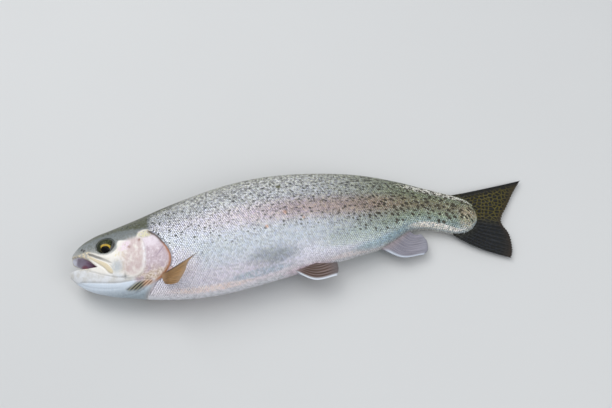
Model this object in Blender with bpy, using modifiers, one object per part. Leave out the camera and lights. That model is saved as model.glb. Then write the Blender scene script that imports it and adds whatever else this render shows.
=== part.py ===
"""Rainbow trout, life size, lying on its right flank with its mouth open.

The fish is described straight, in millimetres, by three coordinates of its own: s runs back from the tip of
the snout along the body's axis, u up towards the back and v out towards the left flank. lay() then bends
that straight fish into its lying pose, in metres, with the left flank up and the right one on the floor.
The body is lofted whole and parted with thin cuts: each outline below takes its piece from what the ones
before it have left, and so runs on past their edges. Fins are thin plates, trimmed where they meet the body.
"""

import math

import bmesh
import bpy
import numpy as np
from mathutils import Vector

MM = 0.001  # metres in one of the fish's own millimetres

# Profiles of the straight body: rows of (s, value).
BACK = (
    (-0.5, -3), (0.6, 2), (2.5, 5.8), (5, 9.3), (10, 14.2), (20, 20.8), (40, 28.5), (66, 37.8),
    (96, 48), (135, 55.8), (175, 59.8), (203, 60.3), (235, 58.4), (273, 54.2), (320, 46), (350, 38),
    (378, 29.8), (400, 26), (418, 24), (430, 20), (437, 13), (439.6, 6),
)
BELLY = (
    (-0.5, 19), (0.6, 23), (2.5, 25.5), (5, 28), (10, 31.8), (20, 37.4), (40, 43.7), (66, 48.4),
    (96, 53.8), (125, 58), (155, 59.8), (200, 58.7), (235, 56), (270, 52.3), (300, 48), (325, 43),
    (340, 36.5), (350, 31), (361, 25), (378, 20.8), (400, 20.6), (418, 21.6), (430, 17.5), (437, 10),
    (439.6, 5),
)
BREADTH = (
    (-0.5, 4), (0.6, 6.6), (2.5, 8.6), (5, 10.4), (10, 13), (20, 16.2), (40, 20.6), (66, 24.2),
    (96, 26.6), (135, 29), (180, 30.6), (225, 30.2), (265, 27.5), (310, 22.5), (350, 17), (385, 12.8),
    (410, 10.3), (425, 8), (437, 5), (439.6, 3),
)
WIDEST = ((-0.5, -12.5), (10, -10), (40, -8), (70, -5), (110, -2), (150, 0), (440, 0))
ROUND_ABOVE = ((-0.5, 2), (10, 2.1), (40, 2.35), (100, 2.2), (200, 2.05), (440, 2))
ROUND_BELOW = ((-0.5, 2), (20, 2), (60, 1.85), (110, 2), (200, 2.15), (300, 1.9), (440, 2))

# How the straight fish lies: the axis's heading in degrees, and its height over the floor.
HEADING = (
    (0, -7), (40, -5), (80, -1), (120, 4), (160, 7.5), (200, 7), (240, 5), (280, 4),
    (320, 1.5), (350, -2), (380, -9), (400, -13), (420, -13), (437, -11), (480, -9),
)
LIE_HEIGHT = (
    (0, 23.5), (40, 24.2), (80, 25), (130, 26.9), (180, 28.4), (225, 28), (265, 25.4), (310, 20.7),
    (350, 15.4), (385, 11.5), (410, 9.3), (437, 7.2), (490, 4.2),
)

GAP = 0.3  # clear space at every cut
CUT_STEP = 5.0  # spacing of points along a cut's outline
FAR = 120.0  # reaches well past the body in u or v
AROUND = 28  # points round each section
AHEAD, BEHIND = -60, 560  # reach well past the snout and the tail fin in s
LIE_END = 490  # behind it the axis runs on straight and level
STATIONS = (
    [-0.5, 0.6, 2.5, 5, 9, 14, 20, 27, 35, 44, 53, 62, 73, 85]
    + [97 + 14 * i for i in range(16)]
    + [320, 332, 342, 352, 362, 374, 387, 401, 413, 423, 430, 435, 438, 439.6]
)

# The mouth: a wedge cut right across between the lips, and a hollow behind them.
GAPE = (
    (31, -18.6), (22, -10.8), (14.5, -6.2), (7, -4), (0, -3.2), (-20, -2), (-20, -20.6),
    (0, -20), (9.5, -18.6), (21, -19),
)
HOLLOW = (  # s, middle u, half height, half breadth
    (4, -11.5, 5, 5.5), (7, -12, 9.5, 8.5), (14, -14, 11.5, 11), (25, -18, 11.5, 13.2),
    (38, -22, 9.5, 14), (50, -25, 7, 11), (60, -27, 4, 6.5),
)
TONGUE = ((9, -25, 2, 2.5), (13, -25, 3.6, 5), (24, -27, 4.6, 6.4), (38, -28, 4.6, 6.4), (48, -28.5, 3, 5))

EYE_CENTRE = (37.8, 5.0, 16.2)
EYE_SIZE = (9.6, 9.2, 7.0)  # half sizes along s, u and v

# Side-view outlines that part the body: rows of (s, u).
HEAD_OUTLINE = (
    (-20, 75), (79, 75), (82, 35), (85.5, 14.5), (92.5, 8.7), (98, 1.2), (102.5, -6.5), (105.5, -15.5),
    (105, -23.5), (101.5, -30), (96, -35.8), (88, -40.5), (80, -48.5), (66, -80), (-20, -80),
)
JAW_OUTLINE = (
    (-20, -11), (31, -18.6), (42, -28.2), (52, -33), (60, -35), (62, -41), (54, -80), (-20, -80),
)
THROAT_OUTLINE = (
    (50, -36.5), (66, -39), (78, -41.2), (94, -39.5), (115, -41), (115, -90), (40, -90), (40, -40),
)
GILL_COVER_OUTLINE = (
    (60, -16), (62, 0), (66, 11.5), (75, 17), (84, 16.6), (100, 24), (115, 0), (115, -52), (84, -52),
    (70, -46), (62, -34),
)
GILL_COVER_DEPTH = 12.0  # how near the cover's inner face comes to the middle plane
MAXILLA_OUTLINE = (
    (10, -0.5), (17, -1.2), (24, -3), (32, -7.6), (40, -14), (46.5, -20.5), (49, -25), (46, -28.5),
    (40, -29), (31, -23), (20, -15), (10, -8),
)
MAXILLA_DEPTH = 2.0  # how deep the upper jaw bone is let into the head
MAXILLA_INNER = 3.0  # nothing of it comes nearer to the middle plane
TRUNK_CUT = 215.0
STEM_CUT = 364.0

# Fins. Each row of (s, u, v) points runs from the leading ray to the last, and the rows from base to tips.
# root and edge are half thicknesses.
THINNING = 0.6  # less than 1: a fin thins fastest near its root
FINS = {
    "dorsal_fin": {
        "rows": (
            ((198, 56, 0), (212, 55.5, 0), (227, 54.3, 0), (242, 52.8, 0), (257, 50.8, 0)),
            ((245, 65, -12.5), (254, 63.5, -13), (263, 61, -11.5), (271, 57.5, -8), (275, 54, -4)),
        ),
        "rays": 11, "steps": 5, "root": 1.3, "edge": 0.45,
    },
    "adipose_fin": {
        "rows": (
            ((371, 28, 0), (375, 27, 0), (379, 26, 0), (383, 25, 0)),
            ((383, 31.5, -6), (386, 30, -6), (386, 28, -5), (385.5, 26, -3)),
            ((391, 31.5, -9), (395, 29.5, -9), (393.5, 27.5, -8), (389, 25.5, -5)),
        ),
        "rays": 6, "steps": 5, "root": 1.6, "edge": 0.8,
    },
    "anal_fin": {
        "rows": (
            ((321, -40, 0), (331, -36, 0), (341, -32, 0), (351, -27, 0), (361, -21, 0)),
            ((349, -53.2, -1), (354, -48.5, -1), (359, -42, -1), (364, -34.5, -0.5), (368, -27, 0)),
            ((380, -49, -2), (385, -43.5, -2), (385, -37, -1.5), (382.5, -31, -1), (377, -26, 0)),
        ),
        "rays": 11, "steps": 6, "root": 1.4, "edge": 0.45,
    },
    "caudal_fin": {
        "rows": (
            ((403, 22.5, 0), (419, 17, 0), (427, 10, 0), (429, 0, 0), (427, -9, 0), (419, -15, 0),
             (406, -18, 0)),
            ((447, 37.3, 0), (454, 28, 0), (455, 14, 0), (451, 0, 0), (454, -13, 0), (452, -27, 0),
             (441, -34.3, 0)),
            ((492.5, 51.5, 0), (484.5, 39, 0), (474.5, 19, 0), (466.5, 0, 0), (474, -15, 0), (476.5, -33, 0),
             (474.5, -44, 0)),
        ),
        "rays": 19, "steps": 6, "root": 2.4, "edge": 0.5,
    },
    "pectoral_fin_left": {
        "rows": (
            ((93, -34, 18), (94, -36, 17.5), (95, -38, 17), (96, -40, 16), (97, -42, 14.5)),
            ((112.5, -34.5, 38.5), (109, -38, 35), (106, -42, 30), (102.5, -45.5, 26), (100, -46, 21)),
            ((131.5, -34.5, 57), (121.5, -39.8, 50), (117, -46, 42), (110, -50.5, 34), (104, -49.5, 27)),
        ),
        "rays": 9, "steps": 6, "root": 1.1, "edge": 0.4,
    },
    "pectoral_fin_right": {
        "rows": (
            ((93, -34, -18), (94, -36, -17.5), (95, -38, -17), (96, -40, -16), (97, -42, -14.5)),
            ((147, -33, -26.3), (143, -38, -26.3), (136, -42, -26), (126, -43.5, -25), (114, -44.5, -22.5)),
        ),
        "rays": 9, "steps": 5, "root": 1.1, "edge": 0.4,
    },
    "pelvic_fin_left": {
        "rows": (
            ((219, -50.5, 6), (223, -50.3, 7), (227, -50, 7.6), (231, -49.5, 8.3), (235, -49, 9)),
            ((244, -67.5, 1), (247, -62.5, 2.5), (249, -57, 4.5), (249.5, -52.5, 7), (248, -49.5, 9)),
            ((270, -65.3, -4), (273, -58.5, -3), (273, -52, 0), (269, -47.5, 3), (260, -47, 7)),
        ),
        "rays": 9, "steps": 6, "root": 1.2, "edge": 0.45,
    },
    "pelvic_fin_right": {
        "rows": (
            ((219, -50.5, -6), (223, -50.3, -7), (227, -50, -7.6), (231, -49.5, -8.3), (235, -49, -9)),
            ((244, -57, -17), (246.5, -53, -17.5), (247.5, -50, -18), (247.5, -47, -18.5), (247, -45, -19)),
            ((268, -53, -24), (271, -47.5, -24.3), (269.5, -43, -24.5), (264, -40.5, -24.5),
             (256, -41.5, -24)),
        ),
        "rays": 9, "steps": 5, "root": 1.2, "edge": 0.45,
    },
}

# Finishes: linear base colour, roughness and metallic value.
FINISHES = {
    "silver_skin": ((0.52, 0.54, 0.50), 0.35, 0.3),
    "olive_tail": ((0.33, 0.36, 0.24), 0.4, 0.2),
    "head_skin": ((0.62, 0.60, 0.52), 0.35, 0.1),
    "gill_cover": ((0.72, 0.55, 0.52), 0.32, 0.2),
    "jaw_skin": ((0.75, 0.76, 0.74), 0.4, 0.0),
    "tongue_skin": ((0.55, 0.27, 0.30), 0.4, 0.0),
    "eye_ball": ((0.25, 0.19, 0.06), 0.12, 0.0),
    "spotted_fin": ((0.20, 0.18, 0.10), 0.45, 0.0),
    "clear_fin": ((0.50, 0.38, 0.28), 0.45, 0.0),
}
FINISH_OF = {
    "head": "head_skin", "maxilla_left": "head_skin", "maxilla_right": "head_skin",
    "lower_jaw": "jaw_skin", "throat": "jaw_skin", "tongue": "tongue_skin",
    "eye_left": "eye_ball", "eye_right": "eye_ball",
    "gill_cover_left": "gill_cover", "gill_cover_right": "gill_cover",
    "trunk_front": "silver_skin", "trunk_rear": "silver_skin", "tail_stem": "olive_tail",
    "dorsal_fin": "spotted_fin", "adipose_fin": "spotted_fin", "caudal_fin": "spotted_fin",
    "anal_fin": "clear_fin", "pectoral_fin_left": "clear_fin", "pectoral_fin_right": "clear_fin",
    "pelvic_fin_left": "clear_fin", "pelvic_fin_right": "clear_fin",
}


def smooth(table, at):
    """Values at these places of the curve that runs smoothly through the table's (place, value) rows."""
    places, values = np.array(table, float).T
    slopes = np.gradient(values, places)
    inside = np.clip(at, places[0], places[-1])
    left = np.clip(np.searchsorted(places, inside) - 1, 0, len(places) - 2)
    span = places[left + 1] - places[left]
    t = (inside - places[left]) / span
    start, end = values[left], values[left + 1]
    rise, run = slopes[left] * span, slopes[left + 1] * span
    step = end - start
    curve = start + t * (rise + t * (3 * step - 2 * rise - run + t * (rise + run - 2 * step)))
    beyond = np.asarray(at) - inside
    return curve + beyond * np.where(beyond < 0, slopes[0], slopes[-1])


AXIS_S = np.arange(AHEAD, BEHIND)
AXIS_HEADING = np.radians(smooth(HEADING, np.clip(AXIS_S, 0, LIE_END)))
AXIS_X = np.cumsum(np.cos(AXIS_HEADING))
AXIS_Y = np.cumsum(np.sin(AXIS_HEADING))


def lay(points):
    """Bends points of the straight fish into the lying pose, in metres, the snout's tip over the origin."""
    s, u, v = np.array(points, float).T
    heading = np.interp(s, AXIS_S, AXIS_HEADING)
    x = np.interp(s, AXIS_S, AXIS_X) - np.interp(0, AXIS_S, AXIS_X) - u * np.sin(heading)
    y = np.interp(s, AXIS_S, AXIS_Y) - np.interp(0, AXIS_S, AXIS_Y) + u * np.cos(heading)
    z = smooth(LIE_HEIGHT, np.clip(s, 0, LIE_END)) + v
    return np.column_stack((x, y, z)) * MM


def rest(mesh):
    """Presses what hangs below the floor flat onto it."""
    for vertex in mesh.vertices:
        vertex.co.z = max(vertex.co.z, 0.0)


def section(s, grow=0.0):
    """Ring of (s, u, v) points round the body at station s, its surface moved out by grow."""
    middle = smooth(WIDEST, s)
    turn = np.arange(AROUND) * 2 * np.pi / AROUND
    up, side = np.cos(turn), np.sin(turn)
    half = np.where(up > 0, smooth(BACK, s) - middle, smooth(BELLY, s) + middle) + grow
    roundness = np.where(up > 0, smooth(ROUND_ABOVE, s), smooth(ROUND_BELOW, s))
    reach = (np.abs(up) ** roundness + np.abs(side) ** roundness) ** (-1 / roundness)
    u = middle + half * up * reach
    v = (smooth(BREADTH, s) + grow) * side * reach
    return np.column_stack((np.full(AROUND, float(s)), u, v))


def new_object(name, points, faces, collection):
    """Makes a mesh object from points in metres and its faces, with its normals facing out."""
    mesh = bpy.data.meshes.new(name)
    mesh.from_pydata([tuple(p) for p in points], [], faces)
    work = bmesh.new()
    work.from_mesh(mesh)
    bmesh.ops.recalc_face_normals(work, faces=work.faces)
    work.to_mesh(mesh)
    work.free()
    obj = bpy.data.objects.new(name, mesh)
    collection.objects.link(obj)
    return obj


def loft(name, rings, collection):
    """Closed skin through rings of (s, u, v) points, capped at both ends."""
    around = len(rings[0])
    starts = [r * around for r in range(len(rings) - 1)]
    faces = [
        (r + k, r + (k + 1) % around, r + around + (k + 1) % around, r + around + k)
        for r in starts
        for k in range(around)
    ]
    last = (len(rings) - 1) * around
    caps = [tuple(range(around)), tuple(range(last, last + around))]
    return new_object(name, lay(np.concatenate(rings)), faces + caps, collection)


def body_loft(name, collection, grow=0.0):
    """The whole body from the chin to the end of the tail's flesh."""
    ends = STATIONS[0] - grow, STATIONS[-1] + grow
    stations = np.unique(np.clip([ends[0], *STATIONS, ends[1]], *ends))
    body = loft(name, [section(s, grow) for s in stations], collection)
    rest(body.data)
    return body


def oval_loft(name, rows, collection, grow=0.0, around=14):
    """Closed oval tube through rows of (s, middle u, half height, half breadth)."""
    turn = np.arange(around) * 2 * np.pi / around
    up, side = np.cos(turn), np.sin(turn)
    rings = [
        np.column_stack((np.full(around, s), u + (high + grow) * up, (wide + grow) * side))
        for s, u, high, wide in rows
    ]
    return loft(name, rings, collection)


def finely(outline):
    """The closed outline with extra points along its sides, so that it can bend with the body."""
    points = []
    for start, end in zip(outline, outline[1:] + outline[:1]):
        count = max(1, round(math.dist(start, end) / CUT_STEP))
        points += [np.array(start) + (np.array(end) - start) * i / count for i in range(count)]
    return np.array(points, float)


def grown(outline, by):
    """The outline moved outwards by a distance; a negative one moves it in."""
    ahead = np.roll(outline, -1, 0) - outline
    along = ahead / np.linalg.norm(ahead, axis=1)[:, None]
    mean = along + np.roll(along, 1, 0)
    mean /= np.linalg.norm(mean, axis=1)[:, None]
    s, u = outline.T
    turning = np.sign(np.sum(s * np.roll(u, -1) - np.roll(s, -1) * u))
    return outline + by * turning * np.column_stack((mean[:, 1], -mean[:, 0]))


def prism(name, outline, collection, grow=0.0, low=-FAR, high=FAR):
    """Cutter with a side-view outline, from v = low to v = high."""
    flat = grown(finely(outline), grow)
    return loft(name, [np.column_stack((flat, np.full(len(flat), v))) for v in (low, high)], collection)


def copy_of(obj, name, collection):
    """An independent copy of an object and its mesh."""
    twin = obj.copy()
    twin.data = obj.data.copy()
    twin.name = name
    collection.objects.link(twin)
    return twin


def applied(obj):
    """Replaces the object's mesh by its evaluated one, and drops its modifiers."""
    graph = bpy.context.evaluated_depsgraph_get()
    mesh = bpy.data.meshes.new_from_object(obj.evaluated_get(graph))
    obj.modifiers.clear()
    obj.data = mesh


def boolean(obj, operation, cutter):
    """Cuts or keeps the object by the cutter, and applies it."""
    modifier = obj.modifiers.new(operation.lower(), "BOOLEAN")
    modifier.operation = operation
    modifier.object = cutter
    modifier.solver = "EXACT"
    applied(obj)


def ellipsoid(name, centre, half_sizes, collection):
    """Solid with its own axes along s, u and v."""
    bpy.ops.mesh.primitive_uv_sphere_add(segments=18, ring_count=11, radius=1)
    obj = bpy.context.object
    obj.name = name
    unit = np.array([vertex.co for vertex in obj.data.vertices])
    obj.data.vertices.foreach_set("co", lay(np.array(centre) + unit * half_sizes).ravel())
    for other in list(obj.users_collection):
        other.objects.unlink(obj)
    collection.objects.link(obj)
    return obj


def spread(row, count):
    """This many points, evenly spread along the smooth curve through a row of points."""
    knots = np.linspace(0, 1, len(row))
    return np.column_stack([
        smooth(np.column_stack((knots, column)), np.linspace(0, 1, count))
        for column in np.array(row, float).T
    ])


def fin(name, collection, rows, rays, steps, root, edge):
    """Thin plate through the rows of a fin, thinning from its root to its edge."""
    spread_rows = [spread(row, rays) for row in rows]
    sheet = np.array([spread([row[ray] for row in spread_rows], steps) for ray in range(rays)])
    faces = [
        (r * steps + k, r * steps + k + 1, (r + 1) * steps + k + 1, (r + 1) * steps + k)
        for r in range(rays - 1)
        for k in range(steps - 1)
    ]
    obj = new_object(name, lay(sheet.reshape(-1, 3)), faces, collection)
    group = obj.vertex_groups.new(name="thickness")
    for k in range(steps):
        share = 1 - (1 - edge / root) * (k / (steps - 1)) ** THINNING
        group.add([ray * steps + k for ray in range(rays)], share, "REPLACE")
    solidify = obj.modifiers.new("solidify", "SOLIDIFY")
    solidify.thickness = 2 * root * MM
    solidify.offset = 0
    solidify.vertex_group = group.name
    applied(obj)
    rest(obj.data)
    return obj


def make_mouth_parts(head, parts, cutters):
    """Opens the mouth in the head, and takes the lower jaw, the tongue and the throat from it."""
    boolean(head, "DIFFERENCE", prism("gape", GAPE, cutters))
    boolean(head, "DIFFERENCE", oval_loft("hollow", HOLLOW, cutters))
    tongue = oval_loft("tongue", TONGUE, parts, around=10)
    boolean(tongue, "INTERSECT", oval_loft("hollow_inside", HOLLOW, cutters, -GAP))
    for name, outline in (("lower_jaw", JAW_OUTLINE), ("throat", THROAT_OUTLINE)):
        piece = copy_of(head, name, parts)
        boolean(piece, "INTERSECT", prism(name + "_region", outline, cutters))
        boolean(head, "DIFFERENCE", prism(name + "_clear", outline, cutters, GAP))


def make_gill_cover(head, side, sign, parts, cutters):
    """Takes one gill cover from the head."""
    cover = copy_of(head, "gill_cover_" + side, parts)
    inner = (GILL_COVER_DEPTH * sign, FAR * sign)
    boolean(cover, "INTERSECT",
            prism("cover_region_" + side, GILL_COVER_OUTLINE, cutters, low=min(inner), high=max(inner)))
    clear = ((GILL_COVER_DEPTH - GAP) * sign, FAR * sign)
    boolean(head, "DIFFERENCE",
            prism("cover_clear_" + side, GILL_COVER_OUTLINE, cutters, GAP, min(clear), max(clear)))


def make_maxilla(head, side, sign, parts, cutters):
    """Takes one upper jaw bone, a thin plate let into the head's surface."""
    maxilla = copy_of(head, "maxilla_" + side, parts)
    reach = {"low": min(MAXILLA_INNER * sign, FAR * sign), "high": max(MAXILLA_INNER * sign, FAR * sign)}
    region = prism("maxilla_region_" + side, MAXILLA_OUTLINE, cutters, **reach)
    boolean(region, "DIFFERENCE", body_loft("under_maxilla_" + side, cutters, -MAXILLA_DEPTH))
    boolean(maxilla, "INTERSECT", region)
    clear = prism("maxilla_clear_" + side, MAXILLA_OUTLINE, cutters, GAP, **reach)
    boolean(clear, "DIFFERENCE", body_loft("under_maxilla_gap_" + side, cutters, -MAXILLA_DEPTH - GAP))
    boolean(head, "DIFFERENCE", clear)


def make_eye(head, side, sign, parts, cutters):
    """One eyeball, and its socket in the head."""
    centre = np.array(EYE_CENTRE) * (1, 1, sign)
    ellipsoid("eye_" + side, centre, EYE_SIZE, parts)
    boolean(head, "DIFFERENCE", ellipsoid("eye_socket_" + side, centre, np.array(EYE_SIZE) + GAP, cutters))


def make_head(whole, parts, cutters):
    """The head, parted into skull, jaws, throat, gill covers and eyes."""
    head = copy_of(whole, "head", parts)
    boolean(head, "INTERSECT", prism("head_region", HEAD_OUTLINE, cutters, -GAP / 2))
    make_mouth_parts(head, parts, cutters)
    for side, sign in (("left", 1), ("right", -1)):
        make_gill_cover(head, side, sign, parts, cutters)
        make_maxilla(head, side, sign, parts, cutters)
        make_eye(head, side, sign, parts, cutters)


def make_trunk(whole, parts, cutters):
    """The trunk in two lengths, and the stem of the tail."""
    ends = {
        "trunk_front": (AHEAD, TRUNK_CUT),
        "trunk_rear": (TRUNK_CUT, STEM_CUT),
        "tail_stem": (STEM_CUT, BEHIND),
    }
    for name, (start, end) in ends.items():
        outline = ((start, FAR), (end, FAR), (end, -FAR), (start, -FAR))
        piece = copy_of(whole, name, parts)
        boolean(piece, "INTERSECT", prism(name + "_region", outline, cutters, -GAP / 2))
    head_clear = prism("head_clear", HEAD_OUTLINE, cutters, GAP / 2)
    boolean(parts.objects["trunk_front"], "DIFFERENCE", head_clear)


def make_fins(parts, cutters):
    """All fins, each trimmed to clear the body's surface."""
    body = body_loft("body_clear", cutters, GAP)
    for name, shape in FINS.items():
        boolean(fin(name, parts, **shape), "DIFFERENCE", body)


def make_finishes():
    """One Principled material for each finish."""
    made = {}
    for name, (colour, roughness, metallic) in FINISHES.items():
        material = bpy.data.materials.new(name)
        material.use_nodes = True
        shader = material.node_tree.nodes["Principled BSDF"]
        shader.inputs["Base Color"].default_value = (*colour, 1)
        shader.inputs["Roughness"].default_value = roughness
        shader.inputs["Metallic"].default_value = metallic
        made[name] = material
    return made


def centre_on_floor(objects):
    """Moves the fish so that the middle of its footprint's box is at the origin."""
    points = np.array([vertex.co for obj in objects for vertex in obj.data.vertices])
    low, high = points.min(0), points.max(0)
    shift = np.array([(low[0] + high[0]) / 2, (low[1] + high[1]) / 2, low[2]])
    for obj in objects:
        for vertex in obj.data.vertices:
            vertex.co -= Vector(shift)


def main():
    for obj in list(bpy.data.objects):
        bpy.data.objects.remove(obj)
    parts = bpy.data.collections.new("rainbow_trout")
    cutters = bpy.data.collections.new("cutters")
    for collection in (parts, cutters):
        bpy.context.scene.collection.children.link(collection)
    whole = body_loft("whole_body", cutters)
    make_head(whole, parts, cutters)
    make_trunk(whole, parts, cutters)
    make_fins(parts, cutters)
    finishes = make_finishes()
    for obj in parts.objects:
        obj.data.materials.clear()
        obj.data.materials.append(finishes[FINISH_OF[obj.name]])
    centre_on_floor(list(parts.objects))
    for cutter in cutters.objects:
        cutter.hide_render = True
        cutter.display_type = "WIRE"


main()
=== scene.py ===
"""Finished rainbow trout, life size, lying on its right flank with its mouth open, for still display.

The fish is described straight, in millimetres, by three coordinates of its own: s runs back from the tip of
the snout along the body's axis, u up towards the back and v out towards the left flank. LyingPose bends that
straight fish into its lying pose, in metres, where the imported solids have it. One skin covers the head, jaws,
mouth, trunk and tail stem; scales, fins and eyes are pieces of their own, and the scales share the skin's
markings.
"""

import logging
import math
from dataclasses import dataclass
from enum import Enum
from functools import cached_property, reduce

import bpy
import numpy as np
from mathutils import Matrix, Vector


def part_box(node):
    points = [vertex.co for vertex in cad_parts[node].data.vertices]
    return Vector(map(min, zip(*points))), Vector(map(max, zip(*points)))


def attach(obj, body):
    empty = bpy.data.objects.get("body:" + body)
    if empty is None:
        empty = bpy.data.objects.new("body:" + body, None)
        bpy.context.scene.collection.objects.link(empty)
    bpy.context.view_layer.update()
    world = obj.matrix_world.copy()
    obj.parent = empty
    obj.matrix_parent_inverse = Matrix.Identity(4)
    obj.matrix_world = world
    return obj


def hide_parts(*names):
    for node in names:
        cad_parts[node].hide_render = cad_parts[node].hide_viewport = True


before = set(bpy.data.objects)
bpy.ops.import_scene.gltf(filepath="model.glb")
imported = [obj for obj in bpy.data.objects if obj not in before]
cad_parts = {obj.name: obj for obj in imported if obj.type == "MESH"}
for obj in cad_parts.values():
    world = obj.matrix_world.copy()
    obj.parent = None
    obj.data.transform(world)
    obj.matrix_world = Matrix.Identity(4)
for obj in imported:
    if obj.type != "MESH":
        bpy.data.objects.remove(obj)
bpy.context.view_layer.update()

MM = 0.001  # metres in one of the fish's own millimetres
SCALE_OF_BODY = 0.1  # the body attribute holds s, u and v in centimetres
FINE_RELIEF = 0.0003  # metres that the finest bumps of a finish stand up
NEXT_TO_LAST = 1.001  # keeps a place read from a grid short of the grid's last point
BODY = "root"
SEED = 7
LOG = logging.getLogger("rainbow_trout")

Array = np.ndarray
Rows = tuple[tuple[float, ...], ...]
Pair = tuple[float, float]
Oval = tuple[Pair, Pair]  # its middle, and its half sizes
Triple = tuple[float, float, float]
Colour = Triple
Bands = tuple[tuple[float, Colour], ...]
Face = tuple[int, ...]
Object = bpy.types.Object
Material = bpy.types.Material
Socket = bpy.types.NodeSocket
Value = Socket | float | Colour


class Side(Enum):
    """The two flanks, each with the sign of v on it."""

    LEFT = 1
    RIGHT = -1


class Length(Enum):
    """The two lengths that the coat of scales is parted into."""

    FRONT = "front"
    REAR = "rear"


# ---- curves


def ease(low: float, high: float, value: Array) -> Array:
    """Rises smoothly from 0 at low to 1 at high; falls where low is the greater."""
    share = np.clip((value - low) / (high - low), 0, 1)
    return share * share * (3 - 2 * share)


def bump(distance: Array, width: float) -> Array:
    """A round hump of height 1 over distance 0, falling off over width."""
    return np.exp(-((distance / width) ** 2))


def soft_max(a: Array, b: Array, width: float) -> Array:
    """The greater of two fields, with their meeting rounded over width."""
    share = np.clip(0.5 + 0.5 * (a - b) / width, 0, 1)
    return b + (a - b) * share + width * share * (1 - share)


def oval_reach(oval: Oval, s: Array, u: Array) -> Array:
    """Distance of places from an oval's middle, in its own half sizes."""
    (middle_s, middle_u), (half_s, half_u) = oval
    return np.hypot((s - middle_s) / half_s, (u - middle_u) / half_u)


def read_grid(grid: Array, rows: Array, columns: Array) -> Array:
    """Reads a grid between its points.

    Args:
        grid: the values.
        rows: places counted in rows; beyond the grid its edge runs on.
        columns: places counted in columns.

    Returns:
        The values there.
    """
    rows = np.clip(rows, 0, grid.shape[0] - NEXT_TO_LAST)
    columns = np.clip(columns, 0, grid.shape[1] - NEXT_TO_LAST)
    rows, columns = np.broadcast_arrays(rows, columns)
    i, j = rows.astype(int), columns.astype(int)
    a, b = rows - i, columns - j
    near = grid[i, j] * (1 - b) + grid[i, j + 1] * b
    far = grid[i + 1, j] * (1 - b) + grid[i + 1, j + 1] * b
    return near * (1 - a) + far * a


@dataclass(frozen=True)
class Profile:
    """A smooth curve through (place, value) rows."""

    rows: Rows

    def at(self, places: Array) -> Array:
        """Reads the curve.

        Args:
            places: where to read it; beyond its ends it runs on straight.

        Returns:
            The values there.
        """
        knots, values = np.array(self.rows, float).T
        slopes = np.gradient(values, knots)
        inside = np.clip(places, knots[0], knots[-1])
        left = np.clip(np.searchsorted(knots, inside) - 1, 0, len(knots) - 2)
        span = knots[left + 1] - knots[left]
        t = (inside - knots[left]) / span
        start, rise = values[left], values[left + 1] - values[left]
        leave, arrive = slopes[left] * span, slopes[left + 1] * span
        curve = start + t * (leave + t * (3 * rise - 2 * leave - arrive + t * (leave + arrive - 2 * rise)))
        beyond = np.asarray(places) - inside
        return curve + beyond * np.where(beyond < 0, slopes[0], slopes[-1])


def smooth_line(points: Rows, spacing: float = 1.0) -> Array:
    """A smooth line through a few points.

    Args:
        points: points of any number of coordinates, in order.
        spacing: distance between the points of the result.

    Returns:
        The line's points, one a row.
    """
    knots = np.array(points, float)
    along = np.concatenate([[0], np.cumsum(np.linalg.norm(np.diff(knots, axis=0), axis=1))])
    at = np.linspace(0, along[-1], max(2, math.ceil(along[-1] / spacing) + 1))
    return np.column_stack([Profile(tuple(zip(along, column))).at(at) for column in knots.T])


def line_distance(line: Array, s: Array, u: Array) -> tuple[Array, Array]:
    """How far places of the side view lie from a line.

    Args:
        line: the line's (s, u) points.
        s: places along the body.
        u: places across it.

    Returns:
        The distances, and a side: 1 to the left of the line's run, -1 to its right.
    """
    s, u = np.broadcast_arrays(s, u)
    nearest = np.full(s.shape, np.inf)
    side = np.zeros(s.shape)
    for (s0, u0), (s1, u1) in zip(line[:-1], line[1:]):
        run, rise = s1 - s0, u1 - u0
        share = np.clip(((s - s0) * run + (u - u0) * rise) / (run * run + rise * rise), 0, 1)
        distance = np.hypot(s - s0 - share * run, u - u0 - share * rise)
        nearer = distance < nearest
        nearest = np.where(nearer, distance, nearest)
        side = np.where(nearer, run * (u - u0) - rise * (s - s0), side)
    return nearest, np.sign(side)


def inside_outline(outline: Array, s: Array, u: Array) -> Array:
    """Which places of the side view lie inside a closed outline.

    Args:
        outline: the outline's (s, u) points, in order.
        s: places along the body.
        u: places across it.

    Returns:
        True for the places inside.
    """
    s, u = np.broadcast_arrays(s, u)
    within = np.zeros(s.shape, bool)
    for (s0, u0), (s1, u1) in zip(outline, np.roll(outline, -1, 0)):
        if u0 == u1:
            continue
        within ^= ((u0 > u) != (u1 > u)) & (s < s0 + (u - u0) * (s1 - s0) / (u1 - u0))
    return within


def depth_inside(outline: Array, s: Array, u: Array) -> Array:
    """How deep places lie inside a closed outline; outside it the depth is negative."""
    distance, _ = line_distance(np.concatenate([outline, outline[:1]]), s, u)
    return np.where(inside_outline(outline, s, u), distance, -distance)


# ---- the fish's form and pose


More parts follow.
